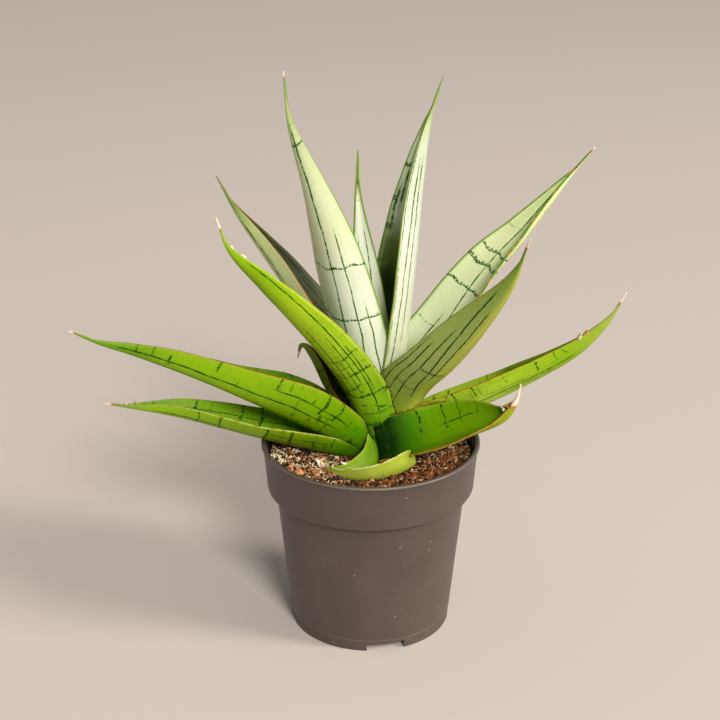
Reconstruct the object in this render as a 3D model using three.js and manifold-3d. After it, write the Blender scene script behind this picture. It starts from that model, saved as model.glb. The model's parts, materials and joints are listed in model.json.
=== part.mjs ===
// Potted snake plant: a rosette of channelled, pointed leaves on a short rhizome, in a plain nursery pot.
// Units are millimetres, +Z is up, and the front of the plant faces -Y.
import * as THREE from 'three';
import * as BufferGeometryUtils from 'three/addons/utils/BufferGeometryUtils.js';
import Module from 'manifold-3d';

const wasm = await Module();
wasm.setup();

// ---------------------------------------------------------------------------
// Driving dimensions
// ---------------------------------------------------------------------------

const RIM_RADIUS = 60;          // a 12 cm nursery pot, over the rim
const POT_HEIGHT = 108.6;
const WALL = 1.5;
const LIP = 1.1;                // rounded lip, standing out from the collar
const COLLAR_HEIGHT = 27;
const COLLAR_LOW_RADIUS = 57;   // the collar tapers down to this
const BODY_TOP_RADIUS = 52.3;
const BODY_LOW_RADIUS = 44.8;
const FOOT_HEIGHT = 6.6;        // foot ring below the body
const FOOT_RADIUS = 44.2;
const FOOT_THICKNESS = 2.2;
const FLOOR_HEIGHT = 6.2;       // underside of the pot's floor
const FLOOR_THICKNESS = 1.8;
const NOTCH_COUNT = 3;          // gaps between the feet
const NOTCH_WIDTH = 21;
const NOTCH_HEIGHT = 4.5;
const NOTCH_TURN = -79;         // degrees: the first notch is a little right of the front
const DRAIN_HOLE_COUNT = 6;     // around the middle one
const DRAIN_HOLE_RADIUS = 5;
const DRAIN_RING_RADIUS = 27;

const GAP = 0.3;                // clear space between pieces that touch
const SOIL_TOP = 100;
const SOIL_SWELL = 1.6;         // how far the surface of the soil rises and falls

const CROWN_X = 4;              // the plant stands a little off the pot's axis
const CROWN_Y = 2;
const CROWN_TOP = 108;
const CROWN_RADIUS = 17;        // of the rhizome's head, which carries the leaves
const RHIZOME_RADIUS = 9;
const RHIZOME_DEPTH = 46;

const LEAF_THICKNESS = 3.4;     // at the middle of a leaf's base
const MARGIN_THICKNESS = 1;     // at a leaf's edges
const LEAF_STEPS = 17;          // stations along a leaf
const LEAF_COLUMNS = 7;         // points across each face of a leaf

// Each leaf heads away from the crown at `heading` (degrees from +X, +Y being the back). spine
// runs along its keel, as [distance from the crown's axis, height, sideways bend] from base to
// tip. width is the flat half width, fold the slope of the channel's walls in degrees at base,
// middle and beak, and roll the turn about the spine at base and tip. wrap widens or narrows the
// leaf's two sides at its base, where it folds round its neighbours.
const LEAVES = [
  { name: 'leaf_01_heart', heading: 100, width: 11.5, fold: [60, 24, 80], roll: [0, 0], hue: 0xdfe9cf,
    base: 0.6, spine: [[2, 98, 0], [7, 150, 2], [11, 205, 6], [14, 245, 9], [15, 268, 8.5]] },
  { name: 'leaf_02_tall_right', heading: -10, width: 28.5, fold: [75, 60, 90], roll: [20, 25], hue: 0xe3ecd6,
    base: 0.4, wrap: [0.72, 1.05], spine: [[4, 97, 8], [14, 160, 6.5], [21, 229, 1.5], [25, 274, 0], [28, 294, 0], [33, 312, 0]] },
  { name: 'leaf_03_tall_left', heading: 225, width: 20.5, fold: [75, 45, 95], roll: [10, 28], hue: 0xdde8cf,
    base: 0.6, spine: [[4, 97, 0], [18, 158, 0], [36, 221, 0], [51, 264, 0], [63, 299, 0], [66, 325, 0]] },
  { name: 'leaf_04_silver_right', heading: 25, width: 22.2, fold: [75, 50, 90], roll: [8, 10], hue: 0xcfdca4,
    base: 0.6, spine: [[5, 97, 0], [23, 139, 0], [46, 168, 0], [67, 193, 0], [88, 212, 0], [116, 242, 0],
      [131, 257, 0]] },
  { name: 'leaf_05_back_left', heading: 155, width: 26, fold: [75, 50, 90], roll: [10, 25], hue: 0x7d9450,
    base: 0.6, taper: 1.6, spine: [[5, 97, 0], [20, 138, 0], [41, 168.5, 0], [71, 206, 0], [84, 223, 0],
      [97, 245, 0]] },
  { name: 'leaf_06_grey_right', heading: -38, width: 24, fold: [75, 50, 90], roll: [-25, -25], hue: 0x8ea25a,
    base: 0.85, spine: [[7, 96, 5], [23, 136, 2], [44, 160, 0], [66, 188, 0], [84, 216, 0], [94, 244, 0]] },
  { name: 'leaf_07_front_left', heading: 220, width: 18.8, fold: [50, 52, 90], roll: [20, 15], hue: 0x8fb32a,
    base: 0.95, spine: [[5, 96, 3], [16, 134, 3], [32, 160, 1.5], [56, 190, 0], [77, 214, 0], [97, 239, 0],
      [104, 258, 0]] },
  { name: 'leaf_08_low_right', heading: -4, width: 22, fold: [75, 55, 90], roll: [-12, -20], hue: 0x8db52a,
    base: 0.7, wrap: [1.2, 1], spine: [[8, 95, 7], [29, 112, 6], [58, 128, 3], [90, 148, 0],
      [109, 162, 0], [122, 178, 0], [131, 197, 0]] },
  { name: 'leaf_09_short_back', heading: 145, width: 10, fold: [75, 60, 90], roll: [15, 20], hue: 0x3c4f1a,
    taper: 3.5, spine: [[8, 96, 0], [17, 111, 0], [34, 127, 0], [46, 145, 0], [51, 149.5, 0], [54, 142, 0]] },
  { name: 'leaf_10_long_left', heading: 190, width: 32, fold: [75, 57, 90], roll: [20, 24], hue: 0x8bb02c,
    base: 0.6, wrap: [1.3, 1], taper: 1.08, spine: [[8, 95, 0], [32, 112, 0], [64, 131.5, 0],
      [102, 152.5, 0], [133, 167.5, 0], [148, 174, 0], [164, 183, 0]] },
  { name: 'leaf_11_front_right', heading: -28, width: 19.5, fold: [60, 42, 90], roll: [38, 30], hue: 0x4b7c12,
    base: 1, wrap: [0.5, 1.15], spine: [[9, 102.5, -12.5], [30, 111, -7], [56, 125.5, -1], [76, 136, 0],
      [82, 146, 0], [84, 158, 0]] },
  { name: 'leaf_12_low_left', heading: 183, width: 20, fold: [75, 52, 90], roll: [9, 3], hue: 0x6d9a26,
    base: 0.7, wrap: [1.15, 1], spine: [[10, 94, 0], [24, 98, 0], [64, 109.5, 0], [108, 123, 0],
      [135, 129, 0], [149, 132, 0]] },
  { name: 'leaf_13_old_curled', heading: 205, width: 20, fold: [84, 72, 90], roll: [22, -12], hue: 0x9ab52e,
    base: 0.42, wrap: [1.85, 1], taper: 1.3, spine: [[-13, 97, 20.5], [3, 97, 26], [19, 97.5, 25.3], [31, 98.5, 18],
      [38, 100.5, 3]] },
];

const RAD = Math.PI / 180;

// ---------------------------------------------------------------------------
// Small helpers
// ---------------------------------------------------------------------------

const mix = (a, b, t) => a + (b - a) * t;
const clamp01 = (t) => Math.min(1, Math.max(0, t));
const ease = (t) => clamp01(t) ** 2 * (3 - 2 * clamp01(t));

function material(hex, roughness) {
  return new THREE.MeshStandardMaterial({ color: hex, roughness, metalness: 0 });
}

// ---------------------------------------------------------------------------
// Leaves
// ---------------------------------------------------------------------------

// The flat half width of a leaf at t, from its base (0) to its tip (1).
const BASE_SHARE = 0.85;        // width at the base, as a share of the widest
const WIDEST_AT = 0.3;
const BEAK_AT = 0.92;           // from here on the leaf is a narrow, closed beak
const TAPER = 1.8;
const BEAK_HALF_WIDTH = 2;
const TIP_HALF_WIDTH = 0.8;

function leafHalfWidth(leaf, t) {
  const base = leaf.base ?? BASE_SHARE;
  if (t < WIDEST_AT) return leaf.width * mix(base, 1, Math.sin((t / WIDEST_AT) * Math.PI / 2));
  if (t > BEAK_AT) return mix(BEAK_HALF_WIDTH, TIP_HALF_WIDTH, (t - BEAK_AT) / (1 - BEAK_AT));
  const fall = (t - WIDEST_AT) / (BEAK_AT - WIDEST_AT);
  return mix(leaf.width, BEAK_HALF_WIDTH, fall ** (leaf.taper ?? TAPER));
}

function leafFold(leaf, t) {
  const [base, middle, beak] = leaf.fold;
  if (t < 0.4) return RAD * mix(base, middle, ease(t / 0.4));
  return RAD * mix(middle, beak, ease((t - 0.4) / (BEAK_AT - 0.4)) ** 1.5);
}

function leafSpine(leaf) {
  const a = leaf.heading * RAD;
  return new THREE.CatmullRomCurve3(leaf.spine.map(([out, up, side]) => new THREE.Vector3(
    CROWN_X + out * Math.cos(a) - side * Math.sin(a),
    CROWN_Y + out * Math.sin(a) + side * Math.cos(a),
    up,
  )));
}

const KEEL_SHARPNESS = 2;
const WRAP_END = 0.8;           // how far along the leaf its wrap fades out

// One side of the leaf at one station, as pairs of an outer and an inner point from the keel to
// the margin. The outer face bends away from the keel most near the keel itself, so the channel
// is a rounded V; the leaf is thick in the middle and thin at the edges. grow widens the section
// on every side.
function leafWall(halfWidth, fold, columns, grow) {
  const middle = Math.min(mix(LEAF_THICKNESS, 1.6, fold.thinning), 1.2 * halfWidth);
  const edge = Math.min(MARGIN_THICKNESS, middle);
  const slope = (share) => fold.angle * (1 - (1 - share) ** KEEL_SHARPNESS);
  const wall = [];
  let x = 0;
  let y = 0;
  for (let i = 0; i <= columns; i += 1) {
    if (i > 0) {
      const angle = slope((i - 0.5) / columns);
      x += (halfWidth / columns) * Math.cos(angle);
      y += (halfWidth / columns) * Math.sin(angle);
    }
    const share = i / columns;
    const angle = slope(share);
    const thickness = mix(middle, edge, share ** 2) + grow;
    const past = i === columns ? grow : 0;
    const [ex, ey] = [x + past * Math.cos(angle), y + past * Math.sin(angle)];
    wall.push([
      [ex + grow * Math.sin(angle), ey - grow * Math.cos(angle)],
      [Math.max(ex - thickness * Math.sin(angle), 0.05 * x), ey + thickness * Math.cos(angle)],
    ]);
  }
  return wall;
}

// The whole section: its outer face from margin to margin, and its inner face back again.
function leafSection(leaf, t, grow) {
  const columns = (LEAF_COLUMNS - 1) / 2;
  const fold = { angle: leafFold(leaf, t), thinning: ease(t / 0.8) };
  const halfWidth = leafHalfWidth(leaf, t);
  const [minus, plus] = (leaf.wrap ?? [1, 1]).map((share, side) => leafWall(
    halfWidth * mix(share, 1, ease(t / WRAP_END)), fold, columns, grow,
  ).map((pair) => pair.map(([x, y]) => [side ? x : -x, y])));
  const face = (k) => [...minus.slice(1).map((pair) => pair[k]).reverse(), ...plus.map((pair) => pair[k])];
  return [...face(0), ...face(1).reverse()];
}

function leafGeometry(leaf, grow = 0) {
  const spine = leafSpine(leaf);
  const a = leaf.heading * RAD;
  const aside = new THREE.Vector3(-Math.sin(a), Math.cos(a), 0);
  const rings = [];
  for (let s = 0; s < LEAF_STEPS; s += 1) {
    const t = (s / (LEAF_STEPS - 1)) ** 0.9;
    const point = spine.getPointAt(t);
    const along = spine.getTangentAt(t);
    const across = aside.clone().addScaledVector(along, -aside.dot(along)).normalize();
    const inward = new THREE.Vector3().crossVectors(along, across);
    const turn = mix(leaf.roll[0], leaf.roll[1], t) * RAD;
    across.applyAxisAngle(along, turn);
    inward.applyAxisAngle(along, turn);
    const end = s === 0 ? -grow : s === LEAF_STEPS - 1 ? grow : 0;
    rings.push(leafSection(leaf, t, grow).map(([x, y]) => point.clone()
      .addScaledVector(across, x).addScaledVector(inward, y).addScaledVector(along, end)));
  }
  return loft(rings);
}

// Joins rings of equal length into a closed skin. The end caps run between the two faces.
function loft(rings) {
  const count = rings[0].length;
  const positions = rings.flat().flatMap((p) => [p.x, p.y, p.z]);
  const index = [];
  for (let r = 0; r + 1 < rings.length; r += 1) {
    for (let i = 0; i < count; i += 1) {
      const j = (i + 1) % count;
      const [a, b, c, d] = [r * count + i, r * count + j, (r + 1) * count + j, (r + 1) * count + i];
      index.push(a, b, c, a, c, d);
    }
  }
  const last = (rings.length - 1) * count;
  for (let i = 0; i + 1 < count / 2; i += 1) {
    const [a, b, c, d] = [i, i + 1, count - 2 - i, count - 1 - i];
    index.push(a, c, b, a, d, c);
    index.push(last + a, last + b, last + c, last + a, last + c, last + d);
  }
  const geometry = new THREE.BufferGeometry();
  geometry.setAttribute('position', new THREE.Float32BufferAttribute(positions, 3));
  geometry.setIndex(index);
  return geometry;
}

// ---------------------------------------------------------------------------
// Cutting and joining
// ---------------------------------------------------------------------------

function solidOf(geometry) {
  const bare = geometry.clone();
  bare.deleteAttribute('normal');
  bare.deleteAttribute('uv');
  const merged = BufferGeometryUtils.mergeVertices(bare, 1e-4);
  return new wasm.Manifold(new wasm.Mesh({
    numProp: 3,
    vertProperties: new Float32Array(merged.attributes.position.array),
    triVerts: new Uint32Array(merged.index.array),
  }));
}

function geometryOf(solid) {
  const mesh = solid.getMesh();
  const geometry = new THREE.BufferGeometry();
  geometry.setAttribute('position', new THREE.Float32BufferAttribute(mesh.vertProperties, 3));
  geometry.setIndex([...mesh.triVerts]);
  return geometry;
}

// A cut can leave a sliver beyond a neighbour; only the main body is kept, without the tiny
// facets along its cut edges.
const CUT_TOLERANCE = 0.04;

function mainBody(solid) {
  const bodies = solid.simplify(CUT_TOLERANCE).decompose();
  return bodies.reduce((best, body) => (body.volume() > best.volume() ? body : best));
}

// ---------------------------------------------------------------------------
// Pot
// ---------------------------------------------------------------------------

const COLLAR_BOTTOM = POT_HEIGHT - COLLAR_HEIGHT;
const INNER_FLOOR = FLOOR_HEIGHT + FLOOR_THICKNESS;
const POT_SIDES = 40;

function potGeometry() {
  const corners = [
    [0, FLOOR_HEIGHT],
    [FOOT_RADIUS - FOOT_THICKNESS, FLOOR_HEIGHT],
    [FOOT_RADIUS - FOOT_THICKNESS, 0],
    [FOOT_RADIUS, 0],
    [FOOT_RADIUS + 0.2, FOOT_HEIGHT - 0.8],
    [BODY_LOW_RADIUS, FOOT_HEIGHT],
    [BODY_TOP_RADIUS, COLLAR_BOTTOM - 1.4],
    [COLLAR_LOW_RADIUS - 0.8, COLLAR_BOTTOM - 0.4],
    [COLLAR_LOW_RADIUS, COLLAR_BOTTOM + 0.6],
    [RIM_RADIUS - LIP, POT_HEIGHT - 2.6],
    [RIM_RADIUS - 0.1, POT_HEIGHT - 1.6],
    [RIM_RADIUS - 0.2, POT_HEIGHT - 0.5],
    [RIM_RADIUS - 1, POT_HEIGHT],
    [RIM_RADIUS - LIP - WALL, POT_HEIGHT - 0.4],
    [RIM_RADIUS - LIP - WALL - 0.3, POT_HEIGHT - 2.6],
    [COLLAR_LOW_RADIUS - WALL, COLLAR_BOTTOM + 1.4],
    [BODY_TOP_RADIUS - WALL, COLLAR_BOTTOM - 1.4],
    [BODY_LOW_RADIUS - WALL, INNER_FLOOR + 2],
    [BODY_LOW_RADIUS - WALL - 2, INNER_FLOOR],
    [0, INNER_FLOOR],
  ];
  const lathe = new THREE.LatheGeometry(corners.map(([r, z]) => new THREE.Vector2(r, z)), POT_SIDES);
  return lathe.rotateX(Math.PI / 2);
}

// Upright cylinders through the floor, and boxes across the foot ring between its feet.
function potCuts() {
  const drain = (distance, angle) => new THREE.CylinderGeometry(DRAIN_HOLE_RADIUS, DRAIN_HOLE_RADIUS, 12, 12)
    .rotateX(Math.PI / 2).translate(distance, 0, FLOOR_HEIGHT).rotateZ(angle);
  const cuts = [drain(0, 0)];
  for (let i = 0; i < DRAIN_HOLE_COUNT; i += 1) {
    cuts.push(drain(DRAIN_RING_RADIUS, (i * 2 * Math.PI) / DRAIN_HOLE_COUNT));
  }
  for (let i = 0; i < NOTCH_COUNT; i += 1) {
    const angle = (NOTCH_TURN + (i * 360) / NOTCH_COUNT) * RAD;
    cuts.push(new THREE.BoxGeometry(16, NOTCH_WIDTH, 2 * NOTCH_HEIGHT)
      .translate(FOOT_RADIUS, 0, 0).rotateZ(angle));
  }
  return cuts;
}

function makePot() {
  return potCuts().reduce((pot, cut) => pot.subtract(solidOf(cut)), solidOf(potGeometry()));
}

// ---------------------------------------------------------------------------
// Rhizome and soil
// ---------------------------------------------------------------------------

const RHIZOME_SIDES = 16;
const ROOTS = [20, 95, 165, 235, 310];   // directions of the thick roots, in degrees
const ROOT_RADIUS = 2.6;

function rhizomeGeometry(grow) {
  const corners = [
    [0, CROWN_TOP - RHIZOME_DEPTH],
    [RHIZOME_RADIUS * 0.6, CROWN_TOP - RHIZOME_DEPTH + 1],
    [RHIZOME_RADIUS, CROWN_TOP - RHIZOME_DEPTH + 6],
    [RHIZOME_RADIUS, CROWN_TOP - 24],
    [CROWN_RADIUS, CROWN_TOP - 15],
    [CROWN_RADIUS, CROWN_TOP - 12],
    [CROWN_RADIUS * 0.7, CROWN_TOP - 7],
    [CROWN_RADIUS * 0.35, CROWN_TOP - 4.5],
    [0, CROWN_TOP - 4],
  ];
  const points = corners.map(([r, z], i) => {
    const down = i < 5 ? -1 : 1;
    return new THREE.Vector2(r === 0 ? 0 : r + grow, z + down * grow);
  });
  return new THREE.LatheGeometry(points, RHIZOME_SIDES).rotateX(Math.PI / 2).translate(CROWN_X, CROWN_Y, 0);
}

function rootGeometry(direction, grow) {
  const a = direction * RAD;
  const start = new THREE.Vector3(CROWN_X + 4 * Math.cos(a), CROWN_Y + 4 * Math.sin(a), CROWN_TOP - 28);
  const spine = new THREE.QuadraticBezierCurve3(
    start,
    start.clone().add(new THREE.Vector3(18 * Math.cos(a), 18 * Math.sin(a), -8)),
    start.clone().add(new THREE.Vector3(26 * Math.cos(a + 0.5), 26 * Math.sin(a + 0.5), -42)),
  );
  const rings = [];
  const steps = 4;
  for (let s = 0; s <= steps; s += 1) {
    const t = s / steps;
    const point = spine.getPoint(t);
    const along = spine.getTangent(t);
    const across = new THREE.Vector3(-Math.sin(a), Math.cos(a), 0);
    const up = new THREE.Vector3().crossVectors(along, across).normalize();
    across.crossVectors(up, along).normalize();
    const radius = mix(ROOT_RADIUS, 1, t) + grow;
    const end = s === steps ? grow : 0;
    const ring = [];
    for (let k = 0; k < 6; k += 1) {
      const angle = ((k + 0.5) / 6) * 2 * Math.PI;
      ring.push(point.clone().addScaledVector(across, radius * Math.cos(angle))
        .addScaledVector(up, radius * Math.sin(angle)).addScaledVector(along, end));
    }
    rings.push(ring);
  }
  return loft(rings);
}

function makeRhizome(grow = 0) {
  return ROOTS.reduce(
    (body, direction) => body.add(solidOf(rootGeometry(direction, grow))),
    solidOf(rhizomeGeometry(grow)),
  );
}

// The soil fills the pot to just under its rim; its surface is uneven and a little mounded.
const SOIL_SIDES = 32;
const SOIL_RINGS = 6;

function soilHeight(x, y) {
  const waves = Math.sin(x / 7 + 1.3) * Math.cos(y / 9) + 0.6 * Math.sin(x / 4.1 - y / 5.3);
  return SOIL_TOP + 0.5 * SOIL_SWELL * waves;
}

function potInnerRadius(z) {
  const low = [BODY_LOW_RADIUS - WALL, INNER_FLOOR + 2];
  const top = [BODY_TOP_RADIUS - WALL, COLLAR_BOTTOM - 1.4];
  if (z <= top[1]) return mix(low[0], top[0], (z - low[1]) / (top[1] - low[1]));
  const collar = [COLLAR_LOW_RADIUS - WALL, COLLAR_BOTTOM + 1.4];
  const rim = [RIM_RADIUS - LIP - WALL - 0.3, POT_HEIGHT - 2.6];
  if (z <= collar[1]) return mix(top[0], collar[0], (z - top[1]) / (collar[1] - top[1]));
  return mix(collar[0], rim[0], (z - collar[1]) / (rim[1] - collar[1]));
}

function soilGeometry() {
  const flatSides = Math.cos(Math.PI / POT_SIDES);   // the pot's wall is flat between its corners
  const clear = (z) => potInnerRadius(z) * flatSides - 1.4 * GAP;
  const floor = INNER_FLOOR + GAP;
  const rings = [];
  const ring = (radius, height) => {
    const points = [];
    for (let k = 0; k < SOIL_SIDES; k += 1) {
      const a = (k / SOIL_SIDES) * 2 * Math.PI;
      const [x, y] = [radius * Math.cos(a), radius * Math.sin(a)];
      points.push(new THREE.Vector3(x, y, typeof height === 'number' ? height : height(x, y)));
    }
    rings.push(points);
  };
  ring(clear(INNER_FLOOR + 2) - 3, floor);
  ring(clear(INNER_FLOOR + 2), floor + 2.4);
  ring(clear(COLLAR_BOTTOM - 1.4), COLLAR_BOTTOM - 0.9);
  ring(clear(COLLAR_BOTTOM + 1.4), COLLAR_BOTTOM + 2.4);
  for (let r = 0; r < SOIL_RINGS; r += 1) {
    ring(clear(SOIL_TOP - 3) * (1 - r / SOIL_RINGS), soilHeight);
  }
  return closedDisc(rings, floor, soilHeight(0, 0));
}

// Rings stacked around the pot's axis, closed by a fan at the bottom and one at the top.
function closedDisc(rings, bottom, top) {
  const count = rings[0].length;
  const positions = rings.flat().flatMap((p) => [p.x, p.y, p.z]);
  const low = rings.length * count;
  positions.push(0, 0, bottom, 0, 0, top);
  const index = [];
  for (let i = 0; i < count; i += 1) {
    const j = (i + 1) % count;
    for (let r = 0; r + 1 < rings.length; r += 1) {
      const [a, b, c, d] = [r * count + i, r * count + j, (r + 1) * count + j, (r + 1) * count + i];
      index.push(a, b, c, a, c, d);
    }
    index.push(low, j, i);
    index.push(low + 1, (rings.length - 1) * count + i, (rings.length - 1) * count + j);
  }
  const geometry = new THREE.BufferGeometry();
  geometry.setAttribute('position', new THREE.Float32BufferAttribute(positions, 3));
  geometry.setIndex(index);
  return geometry;
}

// ---------------------------------------------------------------------------
// Assembly
// ---------------------------------------------------------------------------

const plant = new THREE.Group();

function addPiece(name, solid, look) {
  const mesh = new THREE.Mesh(geometryOf(solid), look);
  mesh.name = name;
  plant.add(mesh);
}

// The outer, older leaves keep their full form; each younger one is trimmed clear of them.
const oldestFirst = [...LEAVES].reverse();
const rhizome = makeRhizome();
const aroundRhizome = makeRhizome(GAP);
const clearances = [];
const leafSolids = new Map();
for (const leaf of oldestFirst) {
  let solid = solidOf(leafGeometry(leaf)).subtract(aroundRhizome);
  for (const taken of clearances) solid = solid.subtract(taken);
  solid = mainBody(solid);
  leafSolids.set(leaf.name, solid);
  clearances.push(solidOf(leafGeometry(leaf, GAP)));
}

let soil = solidOf(soilGeometry()).subtract(aroundRhizome);
for (const taken of clearances) soil = soil.subtract(taken);

addPiece('pot', makePot(), material(0x6b5f58, 0.55));
addPiece('soil', mainBody(soil), material(0x2e1a10, 0.95));
addPiece('rhizome', rhizome, material(0xc9a46a, 0.7));
for (const leaf of LEAVES) addPiece(leaf.name, leafSolids.get(leaf.name), material(leaf.hue, 0.45));

// The origin is under the middle of the whole plant, at the foot of the pot.
const bounds = new THREE.Box3().setFromObject(plant);
const middle = bounds.getCenter(new THREE.Vector3());
plant.position.set(-middle.x, -middle.y, 0);

export default plant;
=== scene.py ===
"""Potted snake plant: the looks of every piece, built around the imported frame.

Lengths in this file are millimetres from the pot's axis, at the level that it stands on, unless a
name says otherwise. make_mesh turns them into the frame's metres.
"""
import json
import math
import random
from functools import partial

import bmesh
import bpy
import numpy as np
from mathutils import Euler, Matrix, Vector, noise
from mathutils.bvhtree import BVHTree

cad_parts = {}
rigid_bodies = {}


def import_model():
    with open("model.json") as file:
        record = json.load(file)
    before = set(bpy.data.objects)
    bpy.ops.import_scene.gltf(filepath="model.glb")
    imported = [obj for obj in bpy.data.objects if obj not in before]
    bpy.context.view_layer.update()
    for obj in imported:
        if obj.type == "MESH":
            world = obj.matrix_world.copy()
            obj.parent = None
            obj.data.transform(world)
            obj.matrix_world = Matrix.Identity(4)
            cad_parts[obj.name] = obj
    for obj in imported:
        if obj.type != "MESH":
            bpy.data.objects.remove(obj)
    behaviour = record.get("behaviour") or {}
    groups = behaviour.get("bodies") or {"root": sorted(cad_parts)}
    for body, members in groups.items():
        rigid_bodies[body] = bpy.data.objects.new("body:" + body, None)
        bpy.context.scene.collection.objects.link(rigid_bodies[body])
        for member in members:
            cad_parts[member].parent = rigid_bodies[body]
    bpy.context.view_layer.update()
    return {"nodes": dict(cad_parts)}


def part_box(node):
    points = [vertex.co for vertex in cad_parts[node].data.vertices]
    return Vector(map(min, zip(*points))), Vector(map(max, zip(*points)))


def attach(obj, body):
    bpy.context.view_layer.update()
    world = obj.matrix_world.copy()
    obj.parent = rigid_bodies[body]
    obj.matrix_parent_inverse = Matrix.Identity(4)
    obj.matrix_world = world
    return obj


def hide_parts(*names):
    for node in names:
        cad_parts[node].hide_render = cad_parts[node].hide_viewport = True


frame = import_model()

MM = 0.001
POT_LOW, POT_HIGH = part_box("pot")
AXIS = np.array([(POT_LOW.x + POT_HIGH.x) / 2, (POT_LOW.y + POT_HIGH.y) / 2, 0.0])

# --- Driving dimensions, the same as the solids' ---

RIM_RADIUS = 60
POT_HEIGHT = 108.6
WALL = 1.5
LIP = 1.1
COLLAR_BOTTOM = POT_HEIGHT - 27
COLLAR_LOW_RADIUS = 57
BODY_TOP_RADIUS = 52.3
BODY_LOW_RADIUS = 44.8
FOOT_HEIGHT = 6.6
FOOT_RADIUS = 44.2
FOOT_THICKNESS = 2.2
FLOOR_HEIGHT = 6.2
FLOOR_THICKNESS = 1.8
NOTCH_COUNT = 3
NOTCH_WIDTH = 21
NOTCH_HEIGHT = 4.5
NOTCH_TURN = -79
DRAIN_HOLE_COUNT = 6
DRAIN_HOLE_RADIUS = 5
DRAIN_RING_RADIUS = 27

SOIL_TOP = 100
SOIL_SWELL = 1.6
SOIL_RADIUS = 55.4

CROWN = Vector((4, 2, 108))
LEAF_THICKNESS = 3.4
MARGIN_THICKNESS = 1
BASE_SHARE = 0.85
WIDEST_AT = 0.3
BEAK_AT = 0.92
TAPER = 1.8
BEAK_HALF_WIDTH = 1.7
TIP_HALF_WIDTH = 0.45
WRAP_END = 0.8                 # how far along a leaf its wrap fades out

# Each leaf: heading in degrees, flat half width, the fold of its channel and its roll about its
# spine in degrees, and the spine as [distance from the crown's axis, height, sideways bend]. base is
# the half width's share at the base, taper how late the leaf narrows, and wrap widens or narrows its
# two sides at the base. From the youngest leaf to the oldest. What the solids don't have: rounded
# is the share of the leaf that its round end takes, room is the clearance that it keeps round it, and
# leaf_11 is wrapped to 0.3 where its solid has 0.5, so it is narrower on its lower side at the base.
LEAVES = [
    dict(name="leaf_01_heart", heading=100, width=11.5, fold=(60, 24, 80), roll=(0, 0), base=0.6,
         spine=[(2, 98, 0), (7, 150, 2), (11, 205, 6), (14, 245, 9), (15, 268, 8.5)]),
    dict(name="leaf_02_tall_right", heading=-10, width=28.5, fold=(75, 60, 90), roll=(20, 25), base=0.4,
         wrap=(0.72, 1.05), spine=[(4, 97, 8), (14, 160, 6.5), (21, 229, 1.5), (25, 274, 0),
         (28, 294, 0), (33, 312, 0)]),
    dict(name="leaf_03_tall_left", heading=225, width=20.5, fold=(75, 45, 95), roll=(10, 28), base=0.6,
         spine=[(4, 97, 0), (18, 158, 0), (36, 221, 0), (51, 264, 0), (63, 299, 0), (66, 325, 0)]),
    dict(name="leaf_04_silver_right", heading=25, width=22.2, fold=(75, 50, 90), roll=(8, 10), base=0.6,
         spine=[(5, 97, 0), (23, 139, 0), (46, 168, 0), (67, 193, 0), (88, 212, 0), (116, 242, 0),
         (131, 257, 0)]),
    dict(name="leaf_05_back_left", heading=155, width=26, fold=(75, 50, 90), roll=(10, 25), base=0.6,
         taper=1.6, spine=[(5, 97, 0), (20, 138, 0), (41, 168.5, 0), (71, 206, 0), (84, 223, 0),
         (97, 245, 0)]),
    dict(name="leaf_06_grey_right", heading=-38, width=24, fold=(75, 50, 90), roll=(-25, -25),
         base=0.85, spine=[(7, 96, 5), (23, 136, 2), (44, 160, 0), (66, 188, 0), (84, 216, 0),
         (94, 244, 0)]),
    dict(name="leaf_07_front_left", heading=220, width=18.8, fold=(50, 52, 90), roll=(20, 15),
         base=0.95, spine=[(5, 96, 3), (16, 134, 3), (32, 160, 1.5), (56, 190, 0), (77, 214, 0),
         (97, 239, 0), (104, 258, 0)]),
    dict(name="leaf_08_low_right", heading=-4, width=22, fold=(75, 55, 90), roll=(-12, -20), base=0.7,
         wrap=(1.2, 1), spine=[(8, 95, 7), (29, 112, 6), (58, 128, 3), (90, 148, 0), (109, 162, 0),
         (122, 178, 0), (131, 197, 0)]),
    dict(name="leaf_09_short_back", heading=145, width=10, fold=(75, 60, 90), roll=(15, 20), taper=3.5,
         spine=[(8, 96, 0), (17, 111, 0), (34, 127, 0), (46, 145, 0), (51, 149.5, 0), (54, 142, 0)]),
    dict(name="leaf_10_long_left", heading=190, width=32, fold=(75, 57, 90), roll=(20, 24), base=0.6,
         wrap=(1.3, 1), taper=1.08, spine=[(8, 95, 0), (32, 112, 0), (64, 131.5, 0), (102, 152.5, 0),
         (133, 167.5, 0), (148, 174, 0), (164, 183, 0)]),
    dict(name="leaf_11_front_right", heading=-28, width=19.5, fold=(60, 42, 90), roll=(38, 30), base=1,
         wrap=(0.3, 1.15), room=1.5, spine=[(9, 102.5, -12.5), (30, 111, -7), (56, 125.5, -1),
         (76, 136, 0), (82, 146, 0), (84, 158, 0)]),
    dict(name="leaf_12_low_left", heading=183, width=20, fold=(75, 52, 90), roll=(9, 3), base=0.7,
         wrap=(1.15, 1), spine=[(10, 94, 0), (24, 98, 0), (64, 109.5, 0), (108, 123, 0), (135, 129, 0),
         (149, 132, 0)]),
    dict(name="leaf_13_old_curled", heading=205, width=20, fold=(84, 72, 90), roll=(22, -12), base=0.42,
         wrap=(1.85, 1), taper=1.3, rounded=0.09, spine=[(-13, 97, 20.5), (3, 97, 26), (19, 97.5, 25.3),
         (31, 98.5, 18), (38, 100.5, 3)]),
]


# --- Helpers ---


def mix(a, b, t):
    return a + (b - a) * t


def ease(t):
    t = np.clip(t, 0, 1)
    return t * t * (3 - 2 * t)


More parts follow.
